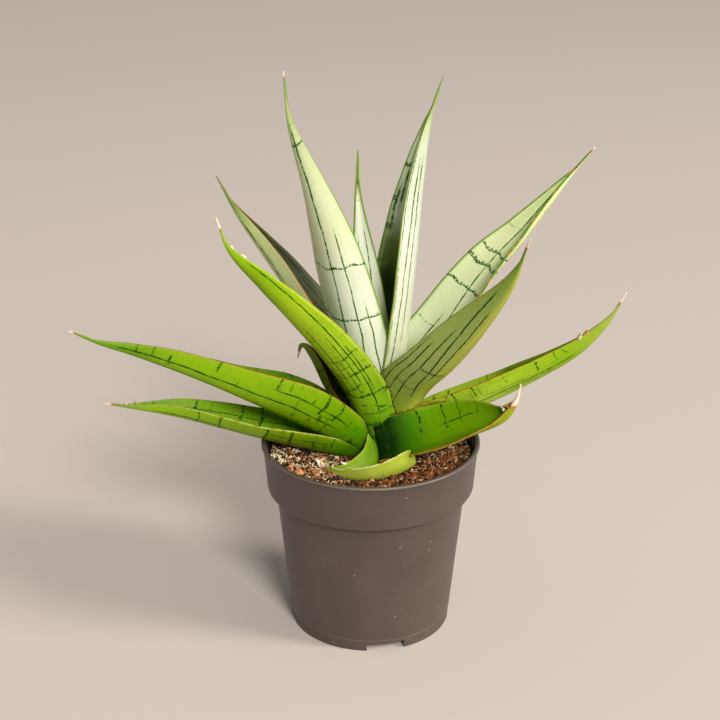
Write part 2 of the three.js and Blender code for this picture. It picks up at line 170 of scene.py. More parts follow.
def linear(colour, alpha=1.0):
    """An sRGB hex colour as linear red, green, blue and alpha."""
    parts = [int(colour[i:i + 2], 16) / 255 for i in (1, 3, 5)]
    return tuple(c / 12.92 if c <= 0.04045 else ((c + 0.055) / 1.055) ** 2.4 for c in parts) + (alpha,)


def add_node(tree, kind, inputs=(), stops=None, **settings):
    """Adds a shader node. Its inputs are a list, from the first socket on, or a dictionary. A node
    given as an input is linked from its first working output."""
    node = tree.nodes.new("ShaderNode" + kind)
    for key, value in settings.items():
        setattr(node, key, value)
    if stops:
        elements = node.color_ramp.elements
        elements[0].position, elements[1].position = stops[0][0], stops[-1][0]
        between = [elements.new(stop[0]) for stop in stops[1:-1]]
        for element, stop in zip([elements[0], *between, elements[len(stops) - 1]], stops):
            element.color = linear(*stop[1:])
    for socket, value in inputs.items() if isinstance(inputs, dict) else enumerate(inputs):
        if isinstance(value, bpy.types.Node):
            value = next(output for output in value.outputs if output.enabled)
        if isinstance(value, bpy.types.NodeSocket):
            tree.links.new(value, node.inputs[socket])
        else:
            node.inputs[socket].default_value = value
    return node


def new_material(name):
    """A material with an empty tree, and add_node bound to that tree."""
    material = bpy.data.materials.new(name)
    material.use_nodes = True
    material.node_tree.nodes.clear()
    return material, partial(add_node, material.node_tree)


def end_material(add, colour, roughness, height, strength, depth, **inputs):
    """The shader of a material, over a relief of the given depth, and its output."""
    relief = add("Bump", {"Height": height, "Strength": strength, "Distance": depth * MM})
    shader = add("BsdfPrincipled", {"Base Color": colour, "Roughness": roughness, "Normal": relief,
                                    **inputs})
    add("OutputMaterial", {"Surface": shader})


def away(add, value, place, scale=1.0):
    """How far a value is from a place, times a scale."""
    offset = add("Math", [value, place], operation="SUBTRACT")
    offset = add("Math", [offset], operation="ABSOLUTE")
    return add("Math", [offset, scale], operation="MULTIPLY")


def strongest(add, marks):
    """The largest of some values, at each point."""
    total = marks[0]
    for mark in marks[1:]:
        total = add("Math", [total, mark], operation="MAXIMUM")
    return total


def circle(radius, height, sides, x=0, y=0):
    """Points around an upright axis."""
    angles = [2 * math.pi * k / sides for k in range(sides)]
    return [(x + radius * math.cos(a), y + radius * math.sin(a), height) for a in angles]


def add_object(name, data):
    thing = bpy.data.objects.new(name, data)
    bpy.context.scene.collection.objects.link(thing)
    return thing


def make_mesh(name, points, faces, maps=None, smooth=True):
    """A mesh in the frame's metres. maps holds two values for each point, kept as UV maps."""
    mesh = bpy.data.meshes.new(name)
    mesh.from_pydata((np.asarray(points) * MM + AXIS).tolist(), [], faces)
    corner = np.empty(len(mesh.loops), int)
    mesh.loops.foreach_get("vertex_index", corner)
    for key, values in (maps or {}).items():
        layer = mesh.uv_layers.new(name=key)
        layer.data.foreach_set("uv", np.asarray(values, float)[corner].ravel())
    mesh.polygons.foreach_set("use_smooth", [smooth] * len(mesh.polygons))
    mesh.update()
    return mesh


def make_piece(mesh, material, node=None):
    piece = add_object(mesh.name, mesh)
    mesh.materials.clear()
    mesh.materials.append(material)
    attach(piece, "root")
    if node:
        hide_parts(node)
    return piece


def cut_away(mesh, cutters):
    """The mesh without what the cutters' meshes take away, and without the scraps that this leaves."""
    blank = add_object("blank", mesh)
    tools = bpy.data.collections.new("tools")
    for cutter in cutters:
        tools.objects.link(bpy.data.objects.new("tool", cutter))
    bpy.context.scene.collection.children.link(tools)
    cut = blank.modifiers.new("cut", "BOOLEAN")
    cut.operation = "DIFFERENCE"
    cut.solver = "MANIFOLD"
    cut.operand_type = "COLLECTION"
    cut.collection = tools
    result = bpy.data.meshes.new_from_object(blank.evaluated_get(bpy.context.evaluated_depsgraph_get()))
    for tool in list(tools.objects):
        bpy.data.objects.remove(tool)
    bpy.data.collections.remove(tools)
    bpy.data.objects.remove(blank)
    result.name = mesh.name
    return keep_main_body(result)


def keep_main_body(mesh):
    """The mesh without the small bodies that a cut can leave beside the largest."""
    work = bmesh.new()
    work.from_mesh(mesh)
    left = set(work.verts)
    bodies = []
    while left:
        front = {left.pop()}
        body = set()
        while front:
            body |= front
            front = {edge.other_vert(vert) for vert in front for edge in vert.link_edges} & left
            left -= front
        bodies.append(body)
    bodies.sort(key=len)
    scraps = [vert for body in bodies[:-1] for vert in body]
    bmesh.ops.delete(work, geom=scraps, context="VERTS")
    work.to_mesh(mesh)
    work.free()
    return mesh


def tube_faces(rings, count):
    """Faces of a closed tube: rings of equal length, one after another, and a face at each end."""
    faces = []
    for ring in range(rings - 1):
        for i in range(count):
            j = (i + 1) % count
            faces.append((ring * count + i, ring * count + j, (ring + 1) * count + j,
                          (ring + 1) * count + i))
    faces.append(tuple(reversed(range(count))))
    faces.append(tuple((rings - 1) * count + i for i in range(count)))
    return faces


# --- Leaves ---

HALF_COLUMNS = 12              # points across each half of a face
STATIONS = 96                  # sections along a leaf
MARGIN_POINTS = 3              # that round a leaf's edge off
SPINE_POINTS = 1500
CROWDING = 0.9                 # below 1, so that sections stand closer toward the tip
FOLD_MIDDLE_AT = 0.4           # how far along a leaf its channel has the middle fold
THIN_AT = 0.8                  # how far along a leaf its middle has thinned to
THIN_THICKNESS = 1.6
MARGIN_WAVES = ((0.16, 11, 1), (0.1, 4.7, 2.1))    # height, length / 2 pi, shift from leaf to leaf
FULL_WAVE_WIDTH = 12           # half width from which a margin waves in full
PATTERN_STEP = 400             # shifts each leaf's pattern clear of the next leaf's
CLEARANCE = 0.4                # from the older leaves that clasp it; the solids leave 0.25


def smooth_spine(points):
    """Points along the centripetal Catmull-Rom curve through the given ones, and their distances."""
    p = [np.array(point, float) for point in points]
    p = [2 * p[0] - p[1]] + p + [2 * p[-1] - p[-2]]
    curve = []
    for i in range(1, len(p) - 2):
        d0, d1, d2 = (np.linalg.norm(p[k + 1] - p[k]) ** 0.5 for k in (i - 1, i, i + 1))
        start = (p[i] - p[i - 1]) / d0 - (p[i + 1] - p[i - 1]) / (d0 + d1) + (p[i + 1] - p[i]) / d1
        end = (p[i + 1] - p[i]) / d1 - (p[i + 2] - p[i]) / (d1 + d2) + (p[i + 2] - p[i + 1]) / d2
        t = np.linspace(0, 1, SPINE_POINTS // (len(p) - 3), endpoint=i == len(p) - 3)[:, None]
        curve.append((2 * t**3 - 3 * t**2 + 1) * p[i] + (t**3 - 2 * t**2 + t) * d1 * start
                     + (3 * t**2 - 2 * t**3) * p[i + 1] + (t**3 - t**2) * d1 * end)
    curve = np.vstack(curve)
    run = np.concatenate([[0], np.cumsum(np.linalg.norm(np.diff(curve, axis=0), axis=1))])
    return curve, run


def half_width(leaf, t):
    """A leaf's flat half width. One with a 'rounded' share has a round end at its base."""
    if t < leaf.get("rounded", 0):
        bare = dict(leaf, rounded=0)
        return half_width(bare, t) * max(0.1, math.sqrt(1 - (1 - t / leaf["rounded"]) ** 2))
    base = leaf.get("base", BASE_SHARE)
    if t < WIDEST_AT:
        return leaf["width"] * mix(base, 1, math.sin(t / WIDEST_AT * math.pi / 2))
    if t > BEAK_AT:
        return mix(BEAK_HALF_WIDTH, TIP_HALF_WIDTH, (t - BEAK_AT) / (1 - BEAK_AT))
    fall = (t - WIDEST_AT) / (BEAK_AT - WIDEST_AT)
    return mix(leaf["width"], BEAK_HALF_WIDTH, fall ** leaf.get("taper", TAPER))


def fold_angle(leaf, t):
    base, middle, beak = leaf["fold"]
    if t < FOLD_MIDDLE_AT:
        return math.radians(mix(base, middle, ease(t / FOLD_MIDDLE_AT)))
    run = ease((t - FOLD_MIDDLE_AT) / (BEAK_AT - FOLD_MIDDLE_AT))
    return math.radians(mix(middle, beak, run**1.5))


def leaf_wall(half, fold, thinning, grow):
    """One side of a leaf's section: its outer face, its rounded margin and its inner face."""
    middle = min(mix(LEAF_THICKNESS, THIN_THICKNESS, thinning), 1.2 * half)
    edge = min(MARGIN_THICKNESS, middle)
    share = np.linspace(0, 1, HALF_COLUMNS + 1)
    slope = fold * (1 - (1 - share) ** 2)
    between = fold * (1 - (1 - (share[1:] - 0.5 / HALF_COLUMNS)) ** 2)
    x, y = (np.concatenate([[0], np.cumsum(turn(between))]) * half / HALF_COLUMNS
            for turn in (np.cos, np.sin))
    thick = mix(middle, edge, share**2) + grow
    outer = np.column_stack([x + grow * np.sin(slope), y - grow * np.cos(slope)])
    inner = np.column_stack([np.maximum(x - thick * np.sin(slope), 0.05 * x), y + thick * np.cos(slope)])
    bulge = 0.5 * (thick[-1] + grow)
    ahead = np.array([math.cos(slope[-1]), math.sin(slope[-1])])
    down = np.array([math.sin(slope[-1]), -math.cos(slope[-1])])
    turns = [(k + 1) / (MARGIN_POINTS + 1) * math.pi for k in range(MARGIN_POINTS)]
    margin = np.array([(outer[-1] + inner[-1]) / 2 + 0.75 * bulge * math.sin(a) * ahead
                       + bulge * math.cos(a) * down for a in turns])
    return outer, margin, inner


def leaf_section(leaf, t, along, grow):
    """Flat points of a closed section, and of each its share of the half width, its face and that
    half width."""
    half = half_width(leaf, t)
    halves = [half * mix(share, 1, ease(t / WRAP_END)) for share in leaf.get("wrap", (1, 1))]
    minus, plus = (leaf_wall(side, fold_angle(leaf, t), ease(t / THIN_AT), grow)
                   for side in halves)
    flip = np.array([-1, 1])
    share = np.linspace(0, 1, HALF_COLUMNS + 1)
    blend = np.arange(1, MARGIN_POINTS + 1) / (MARGIN_POINTS + 1)
    points = np.vstack([minus[0][:0:-1] * flip, plus[0], plus[1], plus[2][::-1], minus[2][1:] * flip,
                        minus[1][::-1] * flip])
    shares = np.concatenate([-share[:0:-1], share, [1] * MARGIN_POINTS, share[::-1], -share[1:],
                             [-1] * MARGIN_POINTS])
    outer = np.zeros(2 * HALF_COLUMNS + 1)
    faces = np.concatenate([outer, blend, outer + 1, blend[::-1]])
    number = LEAVES.index(leaf)
    wave = sum(height * math.sin(along / length + shift * number)
               for height, length, shift in MARGIN_WAVES)
    points[:, 1] += wave * min(1, half / FULL_WAVE_WIDTH) * shares**4
    return points, shares, faces, np.where(shares < 0, *halves)


def leaf_frame(leaf):
    """The spine as a fine curve, the distance along it, and its directions."""
    heading = math.radians(leaf["heading"])
    out = np.array([math.cos(heading), math.sin(heading), 0])
    aside = np.array([-math.sin(heading), math.cos(heading), 0])
    foot = np.array([CROWN.x, CROWN.y, 0])
    curve, run = smooth_spine([foot + d * out + bend * aside + [0, 0, up] for d, up, bend in leaf["spine"]])
    return curve, run, np.gradient(curve, run, axis=0), aside


def leaf_ring(leaf, frame_of_leaf, t, grow=0.0):
    """The points of one section, how far along the leaf it is, and leaf_section's other values."""
    curve, run, tangents, aside = frame_of_leaf
    along = t * run[-1]
    place = np.array([np.interp(along, run, curve[:, k]) for k in range(3)])
    ahead = np.array([np.interp(along, run, tangents[:, k]) for k in range(3)])
    ahead /= np.linalg.norm(ahead)
    across = aside - aside.dot(ahead) * ahead
    across /= np.linalg.norm(across)
    inward = np.cross(ahead, across)
    turn = math.radians(mix(*leaf["roll"], t))
    across, inward = (math.cos(turn) * across + math.sin(turn) * inward,
                      math.cos(turn) * inward - math.sin(turn) * across)
    flat, shares, faces, halves = leaf_section(leaf, t, along, grow)
    return place + flat[:, :1] * across + flat[:, 1:] * inward, along, shares, faces, halves


def leaf_mesh(leaf, grow=0.0):
    """A leaf's skin, with what its finish reads: where each point lies on the blade (share of the
    half width, distance along), the half width there and t, and the face and share again."""
    frame_of_leaf = leaf_frame(leaf)
    points, blade, form, face = [], [], [], []
    for s in range(STATIONS):
        t = (s / (STATIONS - 1)) ** CROWDING
        ring, along, shares, faces, halves = leaf_ring(leaf, frame_of_leaf, t, grow)
        points.append(ring)
        blade += [(share, along + PATTERN_STEP * LEAVES.index(leaf)) for share in shares]
        form += [(half, t) for half in halves]
        face += list(zip(faces, shares))
    maps = {"blade": blade, "form": form, "face": face}
    return make_mesh(leaf["name"], np.vstack(points), tube_faces(STATIONS, len(points[0])), maps)


# --- Leaf finishes ---

# How a leaf's skin looks. outer and inner are its two faces' colours from base (0) to tip (1).
# sides is laid over them across the leaf, from one margin (-1) to the other (1), each with its
# strength; with sides_from it begins only at that t, the share of the leaf's length. outer_lines and
# inner_lines run along it: (share of the half width and t where the line starts, the same where it
# ends, width in mm, strength). outer_bands and inner_bands are jagged and cross it: (t, width,
# strength), and the shares where the band starts and ends unless it runs from margin to margin. dry
# is the t where the straw tip begins. bars and specks are the strengths of the faint bars and specks.
SILVER = dict(
    outer=[(0, "#c0d67c"), (0.25, "#e8f1d2"), (0.45, "#e6efda"), (0.6, "#d4dcb4"), (0.84, "#b2bc8c"),
        (0.93, "#8fae58"), (0.97, "#6a9636"), (1, "#5f8f30")],
    inner=[(0, "#b0c45c"), (0.3, "#dfe8c0"), (0.8, "#d9e2b0"), (0.93, "#8fae58"), (1, "#5f8f30")],
    # On the minus side, the pale tints from -0.94 to -0.6 are partly the leaf's own yellow-green and partly
    # painted light that lifts that side out of its shade.
    sides=[(-1, "#5f8f20", 1.0), (-0.97, "#7fa43c", 0.7), (-0.94, "#e4ecb4", 0.6),
        (-0.6, "#eef4c0", 0.5), (-0.1, "#dbe4a8", 0.0), (0.8, "#c9d8ae", 0.0), (0.94, "#b2c87c", 0.25),
        (0.97, "#7fa43c", 0.7), (1, "#5f8f20", 1.0)],
    outer_lines=[(-0.62, 0.1, -0.6, 0.85, 0.7, 0.8), (-0.1, 0.15, 0.12, 0.92, 0.85, 1),
        (0.3, 0.05, 0.42, 0.64, 0.75, 1), (0.66, 0.05, 0.66, 0.45, 0.75, 1),
        (-0.36, 0.1, -0.3, 0.34, 0.6, 0.7), (-0.8, 0.2, -0.78, 0.7, 0.5, 0.6)],
    inner_lines=[(-0.5, 0.2, -0.45, 0.8, 0.6, 0.85), (0.1, 0.1, 0.15, 0.7, 0.7, 0.85),
        (0.6, 0.15, 0.5, 0.85, 0.6, 0.75)],
    outer_bands=[(0.52, 1.1, 0.8), (0.38, 1.1, 0.8)],
    inner_bands=[(0.55, 1.1, 0.7), (0.36, 1, 0.6)],
    line="#1f5224", halo="#8fb04c", edge="#7f9c34", edge_spots="#7a8c2c", clouds="#c6d6ae", dry=0.985,
    roughness=0.5, bars=0.0, specks=0.2, specular=0.22, slot="silver_leaf")
GREY = dict(
    outer=[(0, "#5c8a04"), (0.2, "#849a20"), (0.42, "#98a658"), (0.6, "#8d9e4c"), (0.85, "#7f9434"),
        (0.93, "#64882c"), (0.97, "#6c8a3c"), (1, "#d8a890")],
    inner=[(0, "#4a6410"), (0.3, "#58742c"), (0.8, "#7d9640"), (1, "#6c9430")],
    sides=[(-1, "#7a9034", 0.7), (-0.93, "#93a95c", 0.0), (-0.3, "#a6b04c", 0.0),
        (0.05, "#b8bc40", 0.7), (0.5, "#b4ba38", 0.8), (1, "#a78c30", 0.9)],
    outer_lines=[(-0.12, 0.22, -0.68, 0.84, 0.85, 1), (-0.1, 0.32, -0.24, 0.76, 0.8, 1),
        (-0.42, 0.18, -0.66, 0.64, 0.8, 1), (-0.64, 0.18, -0.82, 0.56, 0.75, 1),
        (-0.86, 0.18, -0.95, 0.56, 0.7, 0.95), (0.1, 0.2, 0.2, 0.85, 0.5, 0.6),
        (0.35, 0.1, 0.4, 0.9, 0.5, 0.6), (0.62, 0.15, 0.6, 0.8, 0.8, 0.9)],
    inner_lines=[(-0.5, 0.2, -0.55, 0.8, 0.8, 0.9), (0.05, 0.1, 0.05, 0.75, 0.8, 0.95),
        (0.5, 0.2, 0.55, 0.8, 0.8, 0.9)],
    outer_bands=[(0.4, 1.0, 0.9, -0.45, 0.1), (0.3, 1.3, 0.5, -0.7, -0.1), (0.83, 0.8, 0.4, -1, 0.5)],
    inner_bands=[(0.3, 1, 0.6), (0.6, 1, 0.6)],
    line="#0f3c14", halo="#4f7028", edge="#86662c", edge_spots="#a04c24", clouds="#8c9e58",
    roughness=0.47, bars=0.3, specks=0.26, specular=0.2, slot="grey_green_leaf")
BRIGHT = dict(
    inner=[(0, "#1c4400"), (0.3, "#4f8206"), (0.7, "#74a414"), (1, "#7fae20")],
    sides=[(-1, "#8aac12", 0.5), (-0.8, "#8fb324", 0.0), (0.8, "#8fb324", 0.0), (1, "#8aac12", 0.5)],
    outer_lines=[(-0.7, 0.1, -0.65, 0.7, 0.7, 0.85), (-0.35, 0.15, -0.3, 0.8, 0.75, 0.9),
        (0.08, 0.08, 0.12, 0.75, 0.7, 0.85), (0.46, 0.2, 0.5, 0.85, 0.8, 1),
        (0.7, 0.08, 0.73, 0.45, 0.7, 0.9)],
    inner_lines=[(-0.6, 0.1, -0.6, 0.8, 0.7, 0.8), (-0.1, 0.1, 0.0, 0.7, 0.7, 0.85),
        (0.4, 0.15, 0.45, 0.75, 0.7, 0.8)],
    outer_bands=[(0.22, 1.1, 0.75), (0.31, 0.9, 0.6, -0.6, 0.9), (0.42, 0.9, 0.55, -1, 0.6),
        (0.55, 0.9, 0.7, 0.3, 1), (0.68, 0.9, 0.7, 0.2, 1), (0.79, 0.8, 0.6, 0.2, 1)],
    inner_bands=[(0.2, 1.2, 0.6), (0.4, 1, 0.6), (0.52, 1, 0.5), (0.7, 1, 0.5)],
    line="#0c4408", halo="#4f8408", edge="#b8602f", edge_spots="#8f3f22", clouds="#6f9a06",
    roughness=0.42, bars=0.65, specks=0.2, specular=0.15, slot="bright_green_leaf")
LOOKS = {
    "leaf_01_heart": dict(
        SILVER,
        inner=[(0, "#c4dc4c"), (0.45, "#e2ee9c"), (0.6, "#f4f9e4"), (0.85, "#eef4e0"), (0.9, "#7f9c58"),
            (0.95, "#7fae4e"), (1, "#8fbc5e")],
        # The near-white laid over most of the face is painted light, which brightens this leaf in its
        # shade.
        sides=[(-1, "#7fa43c", 0.9), (-0.93, "#f4f9e8", 0.2), (-0.7, "#f4f9e8", 0.5),
            (-0.2, "#f4f9e8", 0.3), (0.9, "#f4f9e8", 0.2), (1, "#7fa43c", 0.9)],
        inner_lines=[(-0.25, 0.3, -0.55, 0.8, 0.75, 1), (0.45, 0.2, 0.4, 0.78, 0.6, 0.8)],
        inner_bands=[(0.9, 1.6, 0.8), (0.845, 0.8, 0.4)],
        edge="#6f9c2c", edge_spots="#8a8a2c", clouds="#f2f6ea", dry=1.1, specks=0.1),
    "leaf_02_tall_right": dict(
        SILVER,
        outer=[(0, "#dcea98"), (0.2, "#eaf2c4"), (0.4, "#dde3c8"), (0.6, "#d4dacc"), (0.82, "#c2cdb2"),
            (0.88, "#a4b87c"), (0.91, "#7fa048"), (1, "#6f9a36")],
        # The dark lower half of the inner face is painted shade inside the channel.
        inner=[(0, "#2c3e00"), (0.45, "#344800"), (0.56, "#6c8046"), (0.64, "#ccd6c2"),
            (0.84, "#dfe8d4"), (0.9, "#5f8034"), (1, "#6f9a36")],
        sides=[(-1, "#5f8f20", 0.9), (-0.985, "#c6d68c", 0.5), (-0.95, "#dbe4a8", 0.0),
            (0.9, "#dbe4a8", 0.0), (0.97, "#7fa43c", 0.7), (1, "#5f8f20", 1.0)],
        outer_lines=[(-0.84, 0.2, -0.66, 0.84, 0.75, 1), (-0.6, 0.3, -0.5, 0.84, 0.75, 0.95),
            (-0.4, 0.2, -0.2, 0.8, 0.6, 0.6), (-0.97, 0.25, -0.95, 0.88, 0.6, 0.8),
            (-0.2, 0.2, -0.1, 0.8, 0.6, 0.8), (0.3, 0.1, 0.4, 0.65, 0.7, 0.9),
            (0.7, 0.15, 0.7, 0.8, 0.6, 0.8)],
        inner_lines=[(0.86, 0.56, 0.9, 0.76, 1.3, 0.9), (0.74, 0.62, 0.76, 0.8, 1.1, 0.9),
            (0.5, 0.3, 0.55, 0.8, 0.8, 0.7), (-0.4, 0.3, -0.4, 0.8, 0.8, 0.7)],
        outer_bands=[(0.8, 0.7, 0.35, -1, -0.4), (0.4, 0.7, 0.35, -1, -0.6)],
        inner_bands=[(0.6, 5, 0.8, 0.93, 1), (0.68, 3.5, 0.9, 0.95, 1), (0.777, 2.4, 0.9, 0.8, 1),
            (0.5, 5, 0.6, 0.88, 1)],
        edge_spots="#b4803c", clouds="#dfe8cc", dry=1.1, specks=0.14),
    "leaf_03_tall_left": dict(
        SILVER,
        outer_bands=[(0.515, 1.2, 0.9), (0.38, 1.2, 0.9), (0.835, 1.3, 0.9), (0.885, 1.0, 0.5),
            (0.95, 0.8, 0.6), (0.65, 0.7, 0.3, 0.5, 1)]),
    "leaf_04_silver_right": dict(
        SILVER,
        outer=[(0, "#b6cc66"), (0.5, "#cfd07c"), (0.88, "#c3d27a"), (0.93, "#86a94a"), (1, "#6f9a36")],
        inner=[(0, "#8fa450"), (0.2, "#a9b878"), (0.32, "#d8e2bc"), (0.6, "#d8e0ac"), (0.88, "#c8d698"),
            (0.92, "#7fa044"), (1, "#6f9a36")],
        inner_lines=[(0.1, 0.25, 0.38, 0.89, 0.9, 1), (0.45, 0.26, 0.4, 0.44, 0.9, 0.9),
            (-0.5, 0.2, -0.5, 0.3, 0.6, 0.6)],
        outer_bands=[(0.61, 1.2, 0.85, -1, -0.6), (0.572, 1.5, 0.9, -1, -0.6), (0.4, 1, 0.7)],
        inner_bands=[(0.614, 1.4, 0.85), (0.572, 1.9, 1), (0.499, 1.5, 0.95), (0.7, 0.8, 0.5, 0.2, 1),
            (0.36, 1, 0.6, 0.2, 1), (0.89, 1.6, 0.9, 0.7, 1)],
        edge="#4f7a2c", edge_spots="#c47a3c"),
    "leaf_05_back_left": dict(
        GREY,
        # The outer face is painted paler than the leaf's own grey-green, as painted light where the lamps
        # barely reach it, and the near-black inner face is painted shade.
        outer=[(0, "#9fb85c"), (0.5, "#d2dea4"), (0.8, "#cfdc94"), (0.9, "#6f9444"), (1, "#4f8a2c")],
        inner=[(0, "#0c1400"), (0.4, "#131c00"), (0.52, "#3a4416"), (0.6, "#1a2200"), (0.8, "#1c2600"),
            (0.93, "#34500c"), (1, "#4f8a2c")],
        sides=[(-1, "#3d5a1c", 0.6), (-0.9, "#93a95c", 0.0), (0.0, "#b0c07c", 0.3),
            (0.3, "#b0c07c", 0.3), (0.48, "#93a95c", 0.0), (1, "#93a95c", 0.0)],
        outer_lines=[(0.6, 0.2, 0.55, 0.8, 0.6, 0.4), (-0.3, 0.1, -0.3, 0.8, 0.8, 0.9),
            (-0.6, 0.15, -0.6, 0.7, 0.8, 0.9), (0.44, 0.1, 0.46, 0.88, 0.9, 0.9)],
        inner_lines=[(-0.8, 0.3, -0.75, 0.65, 1, 1), (-0.6, 0.3, -0.6, 0.75, 1, 1),
            (0.1, 0.2, 0.1, 0.7, 1, 1)],
        line="#0f2408", edge="#b8602f", clouds="#a9b880", dry=1.1),
    "leaf_06_grey_right": dict(GREY, dry=0.966),
    "leaf_07_front_left": dict(
        BRIGHT,
        outer=[(0, "#2f6a08"), (0.1, "#3c7808"), (0.2, "#80ae18"), (0.34, "#9cc024"), (0.6, "#9cba18"),
            (0.78, "#769a00"), (0.9, "#84a614"), (1, "#a0b458")],
        # The dark olive laid over the minus half is painted shade.
        sides=[(-1, "#4f6000", 0.9), (-0.5, "#5c7000", 0.75), (-0.1, "#8fae10", 0.0),
            (0.88, "#8fb324", 0.0), (0.94, "#b5d23c", 0.7), (1, "#a8c832", 0.6)],
        outer_lines=[(0.5, 0.12, 0.8, 0.86, 0.75, 1), (0.04, 0.2, 0.16, 0.58, 0.65, 0.9),
            (0.38, 0.22, 0.5, 0.52, 0.65, 0.9), (0.62, 0.2, 0.76, 0.46, 0.7, 0.95),
            (0.22, 0.2, 0.3, 0.42, 0.6, 0.85), (-0.15, 0.2, -0.1, 0.5, 0.7, 0.9),
            (-0.5, 0.1, -0.45, 0.75, 0.7, 0.9)],
        outer_bands=[(0.383, 1.0, 0.75, -0.1, 0.9), (0.315, 1.1, 0.8, -0.2, 0.9),
            (0.35, 0.8, 0.6, 0, 0.6), (0.232, 1.4, 0.8, -0.6, 1), (0.27, 0.8, 0.5, -0.3, 0.7),
            (0.48, 0.8, 0.5, -0.3, 0.3), (0.13, 2.6, 0.7, -0.6, 0.9), (0.17, 1.6, 0.6, 0.0, 1),
            (0.08, 2.0, 0.6, -0.8, 0.9)],
        dry=0.962),
    "leaf_08_low_right": dict(
        BRIGHT,
        outer=[(0, "#5f9404"), (0.22, "#b4d43c"), (0.5, "#a2c428"), (0.7, "#86aa08"), (0.86, "#9cb040"),
            (1, "#a0b45c")],
        inner=[(0, "#4c7404"), (0.2, "#a4c430"), (0.4, "#9cbc28"), (0.47, "#2c5008"), (0.8, "#2c4c08"),
            (1, "#4f7a18")],
        outer_lines=[(-0.5, 0.3, -0.4, 0.78, 0.75, 0.95), (-0.36, 0.4, -0.3, 0.7, 0.6, 0.8),
            (-0.62, 0.36, -0.52, 0.62, 0.5, 0.8), (0.1, 0.1, 0.1, 0.7, 0.7, 0.85),
            (0.5, 0.1, 0.5, 0.8, 0.7, 0.85)],
        outer_bands=[(0.315, 1.1, 0.8, -1, -0.6), (0.388, 1.1, 0.8, -1, -0.7),
            (0.5, 0.8, 0.5, -1, -0.7), (0.602, 1.1, 0.8, -1, -0.6), (0.675, 1.0, 0.8, -1, -0.7),
            (0.71, 1.0, 0.7, -1, -0.75), (0.2, 1.2, 0.6), (0.45, 1, 0.6, -0.2, 1)],
        dry=0.955),
    "leaf_09_short_back": dict(
        BRIGHT,
        outer=[(0, "#1d2c02"), (0.25, "#6a7c24"), (0.7, "#869630"), (0.9, "#70842a"), (0.93, "#b9876a"),
            (1, "#b9876a")],
        # The near-black inner face is painted shade.
        inner=[(0, "#0c1202"), (0.8, "#161f05"), (0.93, "#8a5f48"), (1, "#8a5f48")],
        dry=0.93),
    "leaf_10_long_left": dict(
        BRIGHT,
        outer=[(0, "#2f6a00"), (0.1, "#528a00"), (0.25, "#80ac04"), (0.45, "#8cb806"),
            (0.58, "#8cb806"), (0.7, "#84aa10"), (0.78, "#6c9408"), (0.86, "#689414"),
            (0.93, "#5a8c1c"), (1, "#5a8c1c")],
        outer_lines=[(0.48, 0.1, 0.47, 0.68, 1.0, 1), (0.47, 0.54, 0.56, 0.9, 0.95, 1),
            (0.68, 0.08, 0.73, 0.42, 0.9, 1), (0.58, 0.1, 0.6, 0.28, 0.5, 0.7),
            (0.1, 0.1, 0.12, 0.8, 0.8, 0.9), (-0.3, 0.1, -0.3, 0.7, 0.8, 0.9),
            (-0.65, 0.1, -0.65, 0.8, 0.8, 0.9)],
        outer_bands=[(0.794, 1.0, 0.8, 0.55, 1), (0.749, 1.0, 0.7, 0.6, 1),
            (0.697, 1.3, 0.9, 0.4, 0.75), (0.556, 1.2, 0.8, 0.7, 1), (0.49, 0.8, 0.5, 0.45, 0.7),
            (0.386, 1.3, 0.8, 0.75, 1), (0.226, 1.5, 0.95, 0.6, 0.98), (0.176, 1.4, 0.9, 0.62, 0.98),
            (0.3, 0.8, 0.6, 0.45, 0.7), (0.19, 1, 0.7, 0.3, 0.6)],
        dry=0.98),
    "leaf_11_front_right": dict(
        BRIGHT,
        outer=[(0, "#4f8a04"), (0.5, "#86ac14"), (0.85, "#9cae1c"), (1, "#a8a040")],
        # The near-black base of the inner face is painted shade in the hollow of the channel.
        inner=[(0, "#021c00"), (0.09, "#052a00"), (0.2, "#3c7400"), (0.34, "#689800"), (0.6, "#6c9a00"),
            (0.75, "#5c8806"), (0.9, "#7c8c1c"), (1, "#a4a850")],
        sides=[(-1, "#a09830", 0.85), (-0.85, "#8a6f24", 0.6), (-0.6, "#6c8406", 0.2),
            (-0.4, "#5c7a1c", 0.0), (0.9, "#5c9a14", 0.0), (1, "#86ad2c", 0.7)],
        inner_lines=[(0.05, 0.12, 0.38, 0.3, 0.7, 0.95), (0.38, 0.3, 0.62, 0.66, 0.75, 1),
            (0.15, 0.3, 0.2, 0.55, 0.5, 0.7), (-0.3, 0.2, -0.3, 0.6, 0.6, 0.7)],
        inner_bands=[(0.26, 0.9, 0.85, 0.35, 1), (0.41, 0.9, 0.85, 0.3, 1), (0.5, 0.8, 0.7, 0.3, 1),
            (0.34, 0.7, 0.5, 0.5, 1), (0.6, 0.8, 0.6, 0.5, 1)],
        line="#042c00", edge="#a88a34", edge_spots="#b0521c", dry=0.865, roughness=0.6, bars=0.12,
        specular=0.08, sides_from=0.2),
    "leaf_12_low_left": dict(
        BRIGHT,
        outer=[(0, "#2f6200"), (0.12, "#4c7c00"), (0.3, "#88a406"), (0.5, "#84ac04"), (0.8, "#94b81c"),
            (0.9, "#7ca43c"), (1, "#5f9030")],
        inner=[(0, "#356c00"), (0.3, "#6c9810"), (0.7, "#80a81c"), (0.88, "#6c9c24"), (1, "#5f9030")],
        outer_bands=[(0.646, 1.2, 0.85), (0.56, 1.3, 0.85), (0.384, 1.6, 0.9), (0.29, 1.4, 0.85),
            (0.47, 0.8, 0.4), (0.2, 1, 0.6)],
        inner_bands=[(0.81, 1, 0.7), (0.66, 1.5, 0.85), (0.6, 1, 0.5), (0.477, 1.4, 0.8),
            (0.402, 1.4, 0.8)],
        edge="#a4b468", edge_spots="#a8702c", dry=0.965),
